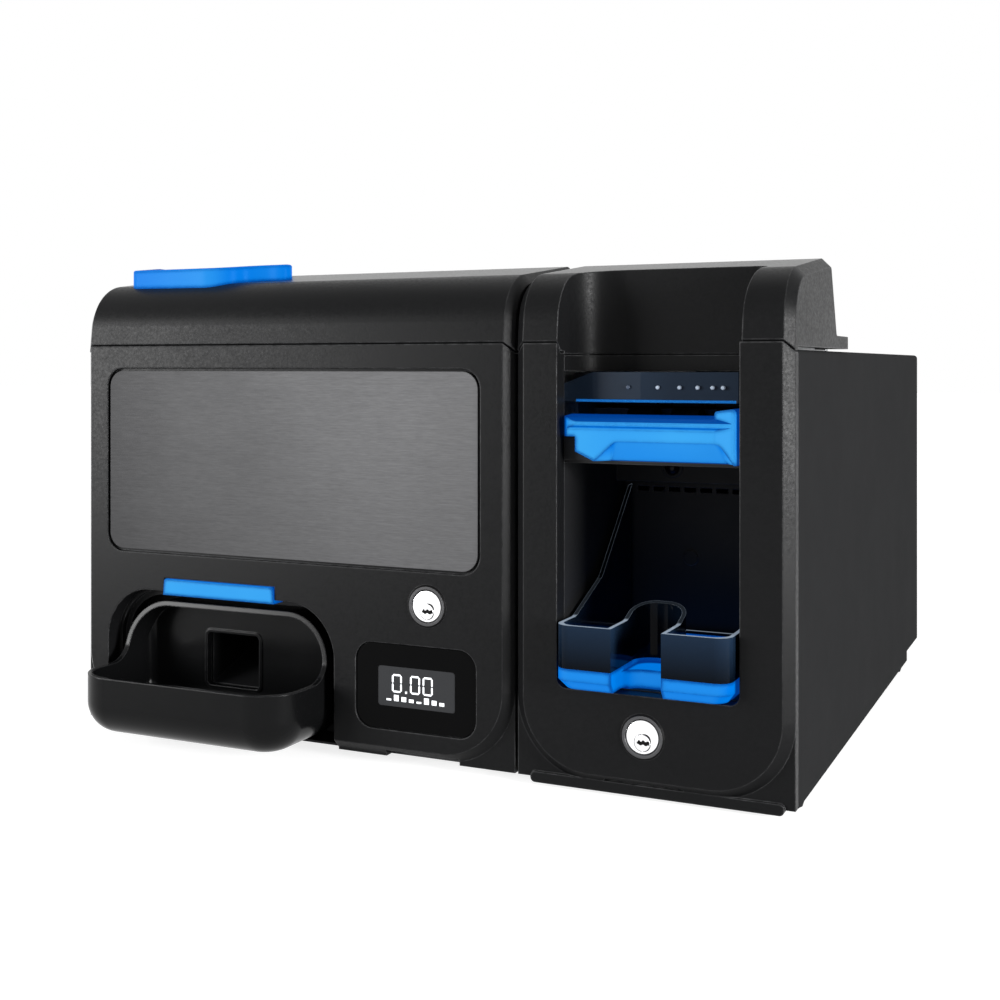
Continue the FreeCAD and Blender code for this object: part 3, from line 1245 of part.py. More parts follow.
def note_hood():
    """Hood of the banknote module. The wall of its finger scoop reaches down to the shroud."""
    block = hood_block(NOTE_LEFT, NOTE_RIGHT)
    scoop_wall = block.common(prism("z", scoop_corners(HOOD_WALL), SEAM_BACK - 5, 340))
    skirt = prism("z", scoop_corners(HOOD_WALL), SHROUD[1] + SKIRT_GAP, HOOD_FOOT + 1)
    skirt = skirt.cut(box(NOTE_LEFT, NOTE_RIGHT, -60, COVER_BACK + 0.5, SEAM_BACK - 5, HOOD_FOOT + 2))
    hood = block.cut(hood_hollow(NOTE_LEFT, NOTE_RIGHT)).fuse([scoop_wall, skirt])
    hood = hood.cut(hinge_cuts(NOTE_LEFT, NOTE_RIGHT) + [prism("z", scoop_corners(0), SEAM_BACK - 6, 340)])
    return hood.removeSplitter()


NODES = {
    "coin_case_wrap": lambda: case_wrap(COIN_LEFT, COIN_RIGHT),
    "coin_case_base": lambda: case_base(COIN_LEFT, COIN_RIGHT),
    "coin_case_rear": coin_case_rear,
    "note_case_wrap": lambda: case_wrap(NOTE_LEFT, NOTE_RIGHT),
    "note_case_base": lambda: case_base(NOTE_LEFT, NOTE_RIGHT),
    "note_case_rear": lambda: case_rear(NOTE_LEFT, NOTE_RIGHT, NOTE_SLOT_COLUMNS),
    "rubber_feet": rubber_feet,
    "module_link_plates": module_link_plates,
    "outer_rails": outer_rails,
    "power_inlet": power_inlet,
    "power_rocker": power_rocker,
    "data_sockets": data_sockets,
    "coin_chassis": lambda: chassis(COIN_LEFT, COIN_RIGHT, NICHE_BACK + 4, COIN_TALL_TO),
    "coin_mid_rails": lambda: mid_rails(COIN_LEFT, COIN_RIGHT),
    "coin_inner_rails": lambda: inner_rails(COIN_LEFT, COIN_RIGHT),
    "coin_front_cover": coin_front_cover,
    "brushed_panel": brushed_panel,
    "display_window": display_window,
    "display_screen": display_screen,
    "light_bar": light_bar,
    "coin_niche": coin_niche,
    "coin_cup": coin_cup,
    "coin_lock_barrel": lambda: lock_barrel(COIN_LOCK),
    "coin_lock_plug": lambda: lock_plug(COIN_LOCK, CAM_LENGTHS[0]),
    "payout_tray": payout_tray,
    "payout_belt": payout_belt,
    "belt_drive_roller": lambda: belt_roller(BELT_XS[0]),
    "belt_idle_roller": lambda: belt_roller(BELT_XS[1]),
    "coin_hoppers": coin_hoppers,
    "sorting_track": sorting_track,
    "sorter_deck": sorter_deck,
    "sorting_disc": sorting_disc,
    "sorter_pinion": sorter_pinion,
    "sorter_motor": sorter_motor,
    "control_board": control_board,
    "coin_hood": coin_hood,
    "coin_inlet": coin_inlet,
    "coin_hood_pins": lambda: hood_pins(COIN_LEFT, COIN_RIGHT),
    "note_chassis": note_chassis,
    "note_mid_rails": lambda: mid_rails(NOTE_LEFT, NOTE_RIGHT),
    "note_inner_rails": lambda: inner_rails(NOTE_LEFT, NOTE_RIGHT),
    "note_front_cover": note_front_cover,
    "inlet_shroud": inlet_shroud,
    "inlet_bezel": inlet_bezel,
    "inlet_leds": inlet_leds,
    "mouth_light": mouth_light,
    "inlet_lip": inlet_lip,
    "outlet_pocket": outlet_pocket,
    "outlet_tray": outlet_tray,
    "outlet_guard": outlet_guard,
    "note_lock_barrel": lambda: lock_barrel(NOTE_LOCK),
    "note_lock_plug": lambda: lock_plug(NOTE_LOCK, CAM_LENGTHS[1]),
    "note_validator": note_validator,
    "upper_feed_roller": lambda: feed_roller(1),
    "lower_feed_roller": lambda: feed_roller(-1),
    "front_storage_drum": lambda: storage_drum(DRUM_YS[0]),
    "rear_storage_drum": lambda: storage_drum(DRUM_YS[1]),
    "note_cassette": note_cassette,
    "note_hood_pins": lambda: hood_pins(NOTE_LEFT, NOTE_RIGHT),
    "note_hood": note_hood,
}


def main():
    """Build each node, move it to the footprint's middle and write it."""
    os.makedirs("parts", exist_ok=True)
    origin = FreeCAD.Vector((COIN_LEFT + NOTE_RIGHT) / 2, (DEPTH - CUP_REACH) / 2, -FOOT_H)
    for name, make in NODES.items():
        shape = make()
        shape.translate(-origin)
        shape.exportStep(f"parts/{name}.step")


main()
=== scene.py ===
import json
import math

import bmesh
import bpy
from mathutils import Matrix, Vector


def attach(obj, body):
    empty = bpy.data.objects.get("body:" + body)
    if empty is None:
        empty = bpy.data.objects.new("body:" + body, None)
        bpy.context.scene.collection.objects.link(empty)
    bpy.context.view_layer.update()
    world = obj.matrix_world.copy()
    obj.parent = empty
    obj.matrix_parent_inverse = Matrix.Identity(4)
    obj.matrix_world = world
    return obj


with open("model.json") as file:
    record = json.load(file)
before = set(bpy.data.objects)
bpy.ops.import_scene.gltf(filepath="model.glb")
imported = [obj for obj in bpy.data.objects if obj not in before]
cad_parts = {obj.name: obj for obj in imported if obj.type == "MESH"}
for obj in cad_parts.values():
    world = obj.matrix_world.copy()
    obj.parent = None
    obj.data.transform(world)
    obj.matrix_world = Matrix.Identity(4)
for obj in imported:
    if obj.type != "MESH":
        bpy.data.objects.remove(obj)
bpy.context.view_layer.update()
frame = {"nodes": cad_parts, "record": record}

# Places are given in millimetres in the drawing frame: X right, Y back from the fronts, Z up from
# the case underside. The model's origin is the middle of the footprint, under the feet.
DRAWING_ORIGIN = (247.7, 225.0, -5.0)
FRONT = (0, -1, 0)
REAR = (0, 1, 0)

# Width of a sharp step in a mask, in metres
SHARP_M = 0.001

# Brushed panel, with painted shade towards its left end and painted light towards its right, and the front edge of
# the case sheets, where a highlight is painted
PANEL_ENDS = (20.0, 250.0)
CASE_EDGE_Y = 16.0

# Blue plastic with a painted glow: the lip's lower bevel, with a painted highlight, and upper shelf, with painted
# shade, the coin inlet, where the painted glow is darker to the left, and where the painted glow dims towards the
# back and rises with height
LIP_CHIN = (191.0, 204.0)
LIP_SHELF = (208.0, 250.0)
INLET_FOOT = 290.0
INLET_ENDS = (16.0, 80.0)
GLOW_FADE_YS = (4.0, 45.0)
GLOW_RISE_ZS = (74.0, 90.0)
# Painted glow: its shaded blue, its lit blue, and its painted shade lines along edges and folds
BLUE_SHADED = (0.0, 0.20, 0.80)
BLUE_LIT = (0.055, 0.42, 0.90)
BLUE_SHADE_LINE = (0.0, 0.03, 0.23)

# Smoked guard: its walls from the tray to the rim, which painted shade darkens towards the tray, and where painted
# shade turns them black towards the back
GUARD_WALL_ZS = (72.0, 97.0)
GUARD_SHADE_YS = (-6.0, 10.0)
# Its own navy, then the colour and glow of a painted highlight along its rims
GUARD_NAVY = (0.007, 0.016, 0.033)
GUARD_RIM_HIGHLIGHT = (0.40, 0.47, 0.56)
GUARD_EDGE_GLOW = (0.34, 0.42, 0.52)

# Indicator row
FIRST_LENS_END = 400.0

# Display
SCREEN_FACE_Y = 1.2
READING_PROUD = 0.05
DIGIT_H = 10.5
DIGIT_W = 6.0
DIGITS_FOOT = 43.5
DIGIT_MIDDLES = (248.0, 261.05, 270.05)
SEGMENT_W = 1.15
SEGMENT_GAP = 0.25
POINT_X = 254.66
POINT_HALF_W = 0.69
LEVEL_LEFT = 240.5
LEVEL_FOOT = 37.5
LEVEL_PITCH = 5.4
LEVEL_W = 3.4
LEVEL_HEIGHTS = (1.2, 3.9, 3.0, 2.1, 1.2, 3.9, 3.0, 2.1)

# Locks. A painted shadow line round the plug has its start, end, width and swell. The keyway and the band round the
# collar are painted shadow too.
COIN_PLUG = (270.2, 96.2)
NOTE_PLUG = (412.0, 30.5)
PLUG_DROP = 3.3
PLUG_FACE_Y = -0.7
BARREL_FACE_Y = -0.4
LOCK_SHADOW_PROUD = 0.03
LOCK_LINE_R = 4.85
LOCK_LINES = ((2, 88, 0.2, 0.8), (272, 352, 0.15, 0.35), (98, 265, 0.28, 0.0))
KEYWAY = ((-2.6, 1.5), (-1.6, 1.5), (-1.1, 0.8), (-0.4, 0.8), (0.1, 1.6), (1.2, 1.6), (1.7, 0.9),
          (2.5, 0.9), (3.0, 1.3), (4.4, 1.3), (4.4, -1.0), (3.3, -1.0), (2.8, -1.5), (1.6, -1.5),
          (1.1, -0.9), (0.0, -0.9), (-0.5, -1.4), (-1.6, -1.4), (-2.0, -0.9), (-2.6, -0.9))
COLLAR = ((10.5, -1.1), (10.5, 0.6), (10.9, 0.98), (12.3, 0.98), (12.45, 0.93), (11.42, 0.92), (11.42, -1.1))
COLLAR_SHADOW = ((12.48, 0.90), (12.52, 0.94), (13.46, 0.03), (13.4, 0.0))

# Payout sensor on the bar over the banknote pocket
SENSOR = (397.0, 106.0, 183.5)
SENSOR_BASE = ((7.0, 0.0), (7.0, 0.9), (6.6, 1.2), (5.2, 1.2), (5.0, 0.9), (5.0, 0.0))
SENSOR_DOME = ((5.0, 0.2), (4.9, 1.6), (4.3, 3.0), (3.2, 4.2), (1.7, 4.9), (0.3, 5.1))

# Screws: radius, height and socket radius. The head and its socket are shares of these.
CASE_SCREW = (3.4, 1.9, 1.25)
INLET_SCREW = (1.9, 0.9, 0.8)
FLANGE_SCREW = (2.8, 1.7, 1.1)
BOARD_SCREW = (2.6, 1.6, 1.0)
SCREW_HEAD = ((1.0, 0.0), (1.0, 0.25), (0.86, 0.66), (0.6, 0.95))
SCREW_SOCKET = ((1.1, 1.0), (1.0, 0.92), (1.0, 0.3))

# Steps of a full turn and of an arc, and how far a raised shape is sunk in, as a share of its rise
TURN_STEPS = 36
ARC_STEPS = 24
SUNK_SHARE = 0.4

# Rear face
REAR_SHEET_Y = 493.0
REAR_SCREWS = ((14, 20), (14, 130), (14, 246), (314, 20), (314, 130), (314, 246),
               (344, 20), (344, 246), (486, 20), (486, 246))
INLET_SCREWS = ((248.9, 46), (303.1, 46))
INLET_FACE_Y = 495.5

# Power rocker: its face (middle, rise, reach), its line (half width, foot, top) and its ring (drop, radii)
ROCKER_MIDDLE = (292.0, 46.0)
ROCKER_FACE = (494.2, 1.4, 9.4)
ROCKER_LINE = (0.5, 3.4, 7.2)
ROCKER_RING = (5.3, 1.95, 1.2)
ROCKER_MARK_PROUD = 0.04

# Data sockets. Each block of a contact has two corners (Y, Z) and a draft.
SOCKET_XS = (120, 150, 180)
SOCKET_Z = 36.0
SOCKET_FACE_Y = 494.0
CONTACTS = 8
CONTACT_LEFT = -4.3
CONTACT_PITCH = 1.15
CONTACT_W = 0.5
CONTACT_BLOCKS = (((-14, 3.2), (-2, 4.4), 0.0), ((-14, 0.6), (-12, 3.2), 0.1))

# Cover screws inside the drawers
FLANGE_FACE_Y = 13.5
FLANGE_SCREW_ZS = (118, 176, 240)
COIN_FLANGE_XS = (13.9, 309.5)
NOTE_FLANGE_XS = (348.5, 481.5)

# Control board. A chip has its middle, its half sizes and its height.
BOARD_FACE_Y = 21.6
BOARD_SCREWS = ((219, 30), (301, 30), (219, 73), (301, 73))
BOARD_CHIPS = ((224, 20, 5, 3.5, 1.4), (224, 62, 6, 5, 1.6), (255, 62, 4.5, 7, 1.6), (275, 48, 7, 7, 1.8),
               (292, 50, 5, 3.5, 1.4), (292, 64, 5, 3.5, 1.4), (254, 24, 5, 3.5, 1.4))
CHIP_LIFT = 0.2
CHIP_DRAFT = 0.3
LEG_PITCH = 1.27
LEG_REACH = 1.1
LEG_HALF_W = 0.22
LEG_H = 0.5
BOARD_CANS = ((238, 22), (276, 64), (284, 41))
CAN_PROFILE = ((3.6, 0), (4.0, 0.4), (4.0, 1.6), (3.7, 2.0), (4.0, 2.4), (4.0, 8.6), (3.6, 9.0), (3.2, 9.0),
               (3.1, 8.8))

# Studio: the camera, the soft lights (name, place, aim, width, height, power) and the white surroundings
CAMERA_PLACE = (0.41806, -0.97547, 0.25541)
CAMERA_HEADING = 24.701
LENS_MM = 48.658
SENSOR_MM = 36.0
LENS_SHIFT = -0.13444
LAMPS = (("left key", (-1.5, -1.5, 0.42), (-0.15, -0.2, 0.15), 1.0, 0.78, 59),
         ("right strip", (1.65, -0.62, 0.33), (0.2, -0.22, 0.15), 0.45, 0.6, 54),
         ("top panel", (0.0, 0.3, 1.7), (0.0, 0.0, 0.2), 1.4, 1.2, 4))
FLOOR_HALF_M = 12
PAPER_GREY = 0.42
PAPER_NEAR = (0.5, 0.80)
PAPER_FAR = (2.2, 1.0)
WORLD_FILL = 0.3


def at(x, y, z):
    """A place of the drawing frame, in metres in the model's frame."""
    return Vector([(place - origin) / 1000 for place, origin in zip((x, y, z), DRAWING_ORIGIN)])


def along(axis, *places):
    """Places on one axis of the drawing frame, in metres in the model's frame."""
    origin = DRAWING_ORIGIN["XYZ".index(axis)]
    return [(place - origin) / 1000 for place in places]


# Node helpers


def add(tree, kind, **settings):
    """New node with some of its settings and inputs filled in."""
    node = tree.nodes.new(kind)
    for key, value in settings.items():
        if key.startswith("in_"):
            node.inputs[key[3:].replace("_", " ")].default_value = value
        else:
            setattr(node, key, value)
    return node


def maths(tree, operation, first, second=None, third=None, clamp=False):
    """Math node on links or numbers."""
    node = add(tree, "ShaderNodeMath", operation=operation, use_clamp=clamp)
    for socket, value in zip(node.inputs, (first, second, third)):
        if value is None:
            continue
        if isinstance(value, (int, float)):
            socket.default_value = value
        else:
            tree.links.new(value, socket)
    return node.outputs[0]


def spread(tree, value, low, high, to_low=0.0, to_high=1.0):
    """Map a value from one range to another, clamped."""
    node = add(tree, "ShaderNodeMapRange", clamp=True)
    tree.links.new(value, node.inputs["Value"])
    for label, number in (("From Min", low), ("From Max", high), ("To Min", to_low), ("To Max", to_high)):
        if isinstance(number, (int, float)):
            node.inputs[label].default_value = number
        else:
            tree.links.new(number, node.inputs[label])
    return node.outputs["Result"]


def blend_colours(tree, factor, first, second):
    """Mix two colours, given as links or as values."""
    node = add(tree, "ShaderNodeMix", data_type="RGBA")
    tree.links.new(factor, node.inputs[0])
    for socket, value in ((node.inputs[6], first), (node.inputs[7], second)):
        if isinstance(value, (tuple, list)):
            socket.default_value = (*value[:3], 1)
        else:
            tree.links.new(value, socket)
    return node.outputs[2]


def stretched(tree, scale=(1, 1, 1)):
    """Object coordinates, stretched differently along each axis."""
    coordinates = add(tree, "ShaderNodeTexCoord")
    mapping = add(tree, "ShaderNodeMapping")
    mapping.inputs["Scale"].default_value = scale
    tree.links.new(coordinates.outputs["Object"], mapping.inputs["Vector"])
    return mapping.outputs["Vector"]


def position(tree):
    """X, Y and Z of a place on a piece, in metres."""
    axes = add(tree, "ShaderNodeSeparateXYZ")
    tree.links.new(stretched(tree), axes.inputs[0])
    return axes.outputs


def direction(tree, normal):
    """X, Y and Z of the way a surface faces, from one of its normals."""
    surface = add(tree, "ShaderNodeNewGeometry")
    axes = add(tree, "ShaderNodeSeparateXYZ")
    tree.links.new(surface.outputs[normal], axes.inputs[0])
    return axes.outputs


def noise(tree, vector, scale, detail=2.0, rough=0.5):
    """Noise value on a vector. The scale is a link or a number."""
    node = add(tree, "ShaderNodeTexNoise", in_Detail=detail, in_Roughness=rough)
    tree.links.new(vector, node.inputs["Vector"])
    if isinstance(scale, (int, float)):
        node.inputs["Scale"].default_value = scale
    else:
        tree.links.new(scale, node.inputs["Scale"])
    return node.outputs["Fac"]


def effect(name, inputs, outputs):
    """Empty shader node group with named inputs (name, value) and named outputs (name, kind)."""
    tree = bpy.data.node_groups.new(name, "ShaderNodeTree")
    for label, value in inputs:
        kind = "NodeSocketColor" if isinstance(value, tuple) else "NodeSocketFloat"
        socket = tree.interface.new_socket(label, in_out="INPUT", socket_type=kind)
        socket.default_value = value
    for label, kind in outputs:
        tree.interface.new_socket(label, in_out="OUTPUT", socket_type=kind)
    return tree, tree.nodes.new("NodeGroupInput").outputs, tree.nodes.new("NodeGroupOutput").inputs


# Surface effects shared by several finishes


def make_mould_grain():
    """Spark-eroded mould texture: fine pits over a slow change of tone."""
    outputs = [(label, "NodeSocketFloat") for label in ("Height", "Tone", "Pits")]
    tree, given, out = effect("mould grain", [("Grain mm", 0.6), ("Tone change", 0.15)], outputs)
    place = stretched(tree)
    size = maths(tree, "DIVIDE", 1000.0, given["Grain mm"])
    pits = noise(tree, place, size, 3.0, 0.6)
    coarse = noise(tree, place, maths(tree, "MULTIPLY", size, 0.31), 2.0)
    tree.links.new(maths(tree, "ADD", pits, maths(tree, "MULTIPLY", coarse, 0.7)), out["Height"])
    slow = maths(tree, "SUBTRACT", noise(tree, place, 9.0, 3.0), 0.5)
    speck = maths(tree, "SUBTRACT", pits, 0.5)
    tree.links.new(speck, out["Pits"])
    change = maths(tree, "ADD", slow, maths(tree, "MULTIPLY", speck, 1.3))
    tree.links.new(maths(tree, "MULTIPLY_ADD", change, given["Tone change"], 1.0), out["Tone"])
    return tree


def make_worn_edges():
    """Edges rounded by handling: a rounded normal, and a broken mask that follows the edges, used for scuffing and
    for painted edge highlights and shade lines.
    """
    tree, given, out = effect("worn edges", [("Radius mm", 0.6), ("Breaks", 0.5)],
                              [("Mask", "NodeSocketFloat"), ("Normal", "NodeSocketVector")])
    soft = add(tree, "ShaderNodeBevel", samples=6)
    tree.links.new(maths(tree, "DIVIDE", given["Radius mm"], 1000.0), soft.inputs["Radius"])
    surface = add(tree, "ShaderNodeNewGeometry")
    turn = add(tree, "ShaderNodeVectorMath", operation="DOT_PRODUCT")
    tree.links.new(soft.outputs["Normal"], turn.inputs[0])
    tree.links.new(surface.outputs["Normal"], turn.inputs[1])
    edge = spread(tree, turn.outputs["Value"], 0.995, 0.8)
    rub = noise(tree, stretched(tree), 160.0, 4.0, 0.65)
    rub = spread(tree, rub, maths(tree, "MULTIPLY", given["Breaks"], 0.9), 0.75)
    tree.links.new(maths(tree, "MULTIPLY", edge, rub), out["Mask"])
    tree.links.new(soft.outputs["Normal"], out["Normal"])
    return tree


def make_handling_marks():
    """Uneven sheen from hands and wiping, as a roughness between two values."""
    tree, given, out = effect("handling marks", [("Low", 0.3), ("High", 0.5), ("Patch mm", 40.0)],
                              [("Roughness", "NodeSocketFloat")])
    place = stretched(tree)
    patches = noise(tree, place, maths(tree, "DIVIDE", 1000.0, given["Patch mm"]), 4.0, 0.6)
    wipes = noise(tree, stretched(tree, (0.25, 1, 1.6)), 260.0, 2.0)
    mask = maths(tree, "ADD", maths(tree, "MULTIPLY", patches, 0.75), maths(tree, "MULTIPLY", wipes, 0.25))
    tree.links.new(spread(tree, mask, 0.3, 0.7, given["Low"], given["High"]), out["Roughness"])
    return tree


def make_brush_lines():
    """Fine brush lines along X with a few longer scratches."""
    tree, given, out = effect("brush lines", [("Line mm", 0.5), ("Tone change", 0.3)],
                              [("Height", "NodeSocketFloat"), ("Tone", "NodeSocketFloat")])
    size = maths(tree, "DIVIDE", 1000.0, given["Line mm"])
    fine = noise(tree, stretched(tree, (0.02, 1, 1)), size, 3.0, 0.65)
    long_lines = noise(tree, stretched(tree, (0.006, 1, 0.55)), size, 2.0)
    short = noise(tree, stretched(tree, (0.07, 1, 0.8)), size, 2.0)
    lines = maths(tree, "ADD", maths(tree, "MULTIPLY", fine, 0.35), maths(tree, "MULTIPLY", long_lines, 0.15))
    lines = maths(tree, "ADD", lines, maths(tree, "MULTIPLY", short, 0.5))
    tree.links.new(lines, out["Height"])
    change = maths(tree, "SUBTRACT", lines, 0.5)
    tree.links.new(maths(tree, "MULTIPLY_ADD", change, given["Tone change"], 1.0), out["Tone"])
    return tree


def make_zinc_flower():
    """Cell pattern and scratches of zinc-plated sheet."""
    tree, given, out = effect("zinc flower", [("Cell mm", 6.0), ("Tone change", 0.2)],
                              [("Tone", "NodeSocketFloat"), ("Height", "NodeSocketFloat")])
    place = stretched(tree)
    cells = add(tree, "ShaderNodeTexVoronoi", feature="F1")
    tree.links.new(place, cells.inputs["Vector"])
    tree.links.new(maths(tree, "DIVIDE", 1000.0, given["Cell mm"]), cells.inputs["Scale"])
    shade = add(tree, "ShaderNodeSeparateColor")
    tree.links.new(cells.outputs["Color"], shade.inputs["Color"])
    scratch = noise(tree, stretched(tree, (1, 0.03, 1)), 900.0, 2.0)
    mixed = maths(tree, "ADD", maths(tree, "MULTIPLY", shade.outputs["Red"], 0.6),
                  maths(tree, "MULTIPLY", scratch, 0.4))
    change = maths(tree, "SUBTRACT", mixed, 0.5)
    tree.links.new(maths(tree, "MULTIPLY_ADD", change, given["Tone change"], 1.0), out["Tone"])
    tree.links.new(scratch, out["Height"])
    return tree


def make_screen_dots():
    """Square dot grid of a graphic screen, as a mask of the gaps between the dots."""
    tree, given, out = effect("screen dots", [("Gap start", 0.38)], [("Gaps", "NodeSocketFloat")])
    dots = add(tree, "ShaderNodeTexVoronoi", feature="F1", distance="CHEBYCHEV", in_Randomness=0.0, in_Scale=2300.0)
    tree.links.new(stretched(tree), dots.inputs["Vector"])
    tree.links.new(spread(tree, dots.outputs["Distance"], given["Gap start"], 0.5), out["Gaps"])
    return tree


def make_tinted():
    """A colour made lighter or darker by a tone around 1, and mixed towards another colour at the edges, for
    scuffing together with a painted edge highlight.
    """
    tree, given, out = effect("tinted", [("Colour", (0.5, 0.5, 0.5, 1)), ("Worn colour", (0.5, 0.5, 0.5, 1)),
                                         ("Tone", 1.0), ("Wear", 0.0)], [("Colour", "NodeSocketColor")])
    shade = add(tree, "ShaderNodeVectorMath", operation="SCALE")
    tree.links.new(given["Colour"], shade.inputs[0])
    tree.links.new(given["Tone"], shade.inputs["Scale"])
    tree.links.new(blend_colours(tree, given["Wear"], shade.outputs[0], given["Worn colour"]), out["Colour"])
    return tree


EFFECTS = {
    "grain": make_mould_grain(),
    "edges": make_worn_edges(),
    "marks": make_handling_marks(),
    "brush": make_brush_lines(),
    "zinc": make_zinc_flower(),
    "dots": make_screen_dots(),
    "tint": make_tinted(),
}


# Finishes


def finish(name):
    """New material with a Principled shader, and the tree to work on."""
    material = bpy.data.materials.new(name)
    material.use_nodes = True
    tree = material.node_tree
    return material, tree, tree.nodes["Principled BSDF"]


def placed(tree, effect_name, **values):
    """One of the shared effects with its own values."""
    node = tree.nodes.new("ShaderNodeGroup")
    node.node_tree = EFFECTS[effect_name]
    for label, value in values.items():
        socket = node.inputs[label.replace("_", " ")]
        socket.default_value = (*value, 1) if isinstance(value, tuple) else value
    return node


def hold(shader, **values):
    """Plain values on a shader's own inputs."""
    for label, value in values.items():
        shader.inputs[label.replace("_", " ")].default_value = value


def relief(tree, shader, height, depth_mm, normal=None):
    """Bump from a height, on top of a rounded normal."""
    bump = add(tree, "ShaderNodeBump", in_Strength=1.0, in_Distance=depth_mm / 1000)
    tree.links.new(height, bump.inputs["Height"])
    if normal is not None:
        tree.links.new(normal, bump.inputs["Normal"])
    tree.links.new(bump.outputs["Normal"], shader.inputs["Normal"])


def tinted(tree, shader, tone, wear_and_highlight, colour, worn_and_lit):
    """Base colour from a tone and a mask of scuffed edges together with a painted highlight."""
    node = placed(tree, "tint", Colour=colour, Worn_colour=worn_and_lit)
    tree.links.new(tone, node.inputs["Tone"])
    tree.links.new(wear_and_highlight, node.inputs["Wear"])
    tree.links.new(node.outputs["Colour"], shader.inputs["Base Color"])


def lighter(colour, share, lift=0.0):
    """A colour made lighter, for scuffed edges that also carry a painted edge highlight."""
    return tuple(min(1.0, share * c + lift) for c in colour)


def front_edge_highlight(tree, edge_y):
    """Mask of a painted highlight along a sheet's front edge, up to a place back from the fronts."""
    end, = along("Y", edge_y)
    return maths(tree, "MULTIPLY", spread(tree, direction(tree, "True Normal")["Y"], -0.6, -0.9),
                 spread(tree, position(tree)["Y"], end + SHARP_M, end))


def moulded(name, colour, worn_and_lit, grain_mm, depth_mm, sheen, specular, edge_mm=0.6, tone=0.15, wear_and_highlight=0.35,
            breaks=0.5, edge_highlight_y=None, skim=0.0, grit=0.0):
    """Moulded plastic or powder coat: grain, uneven sheen, and scuffed edges with a painted edge highlight, also a
    painted highlight on a sheet's front edge.
    """
    material, tree, shader = finish(name)
    grain = placed(tree, "grain", Grain_mm=grain_mm, Tone_change=tone)
    edges = placed(tree, "edges", Radius_mm=edge_mm, Breaks=breaks)
    marks = placed(tree, "marks", Low=sheen[0], High=sheen[1])
    # Scuffed edges and a painted edge highlight share one mask
    rubbed_and_lit = maths(tree, "MULTIPLY", edges.outputs["Mask"], wear_and_highlight)
    if edge_highlight_y is not None:
        rubbed_and_lit = maths(tree, "MAXIMUM", rubbed_and_lit, front_edge_highlight(tree, edge_highlight_y))
    tinted(tree, shader, grain.outputs["Tone"], rubbed_and_lit, colour, worn_and_lit)
    rough = marks.outputs["Roughness"]
    if grit:
        rough = maths(tree, "MULTIPLY_ADD", grain.outputs["Pits"], grit, rough)
    tree.links.new(rough, shader.inputs["Roughness"])
    relief(tree, shader, grain.outputs["Height"], depth_mm, edges.outputs["Normal"])
    hold(shader, Specular_IOR_Level=specular)
    if skim:
        grazing = add(tree, "ShaderNodeLayerWeight").outputs["Facing"]
        tree.links.new(spread(tree, grazing, 0.90, 0.985, 0.0, skim), shader.inputs["Coat Weight"])
        hold(shader, Coat_Roughness=0.3)
    return material


def brushed(name, colour, line_mm, depth_mm, tone, sheen, anisotropy, light_fade):
    """Metal brushed along X, with painted shade towards the left end of the panel and painted light towards the
    right.
    """
    material, tree, shader = finish(name)
    lines = placed(tree, "brush", Line_mm=line_mm, Tone_change=tone)
    # Painted shade towards the left end of the panel, painted light towards the right
    slow = spread(tree, position(tree)["X"], *along("X", *PANEL_ENDS), *light_fade)
    shade = maths(tree, "MULTIPLY", lines.outputs["Tone"], slow)
    edges = placed(tree, "edges", Radius_mm=0.4, Breaks=0.2)
    marks = placed(tree, "marks", Low=sheen[0], High=sheen[1], Patch_mm=90.0)
    # Lighter edges: scuffing together with a painted edge highlight
    tinted(tree, shader, shade, edges.outputs["Mask"], colour, lighter(colour, 1.6))
    tree.links.new(marks.outputs["Roughness"], shader.inputs["Roughness"])
    relief(tree, shader, lines.outputs["Height"], depth_mm, edges.outputs["Normal"])
    hold(shader, Metallic=1.0, Anisotropic=anisotropy)
    return material


def plated(name, colour, cell_mm, tone, sheen):
    """Plated or bare metal with a faint cell pattern."""
    material, tree, shader = finish(name)
    zinc = placed(tree, "zinc", Cell_mm=cell_mm, Tone_change=tone)
    edges = placed(tree, "edges", Radius_mm=0.3, Breaks=0.1)
    marks = placed(tree, "marks", Low=sheen[0], High=sheen[1], Patch_mm=25.0)
    tinted(tree, shader, zinc.outputs["Tone"], edges.outputs["Mask"], colour, lighter(colour, 1.25))
    tree.links.new(marks.outputs["Roughness"], shader.inputs["Roughness"])
    relief(tree, shader, zinc.outputs["Height"], 0.01, edges.outputs["Normal"])
    hold(shader, Metallic=1.0)
    return material


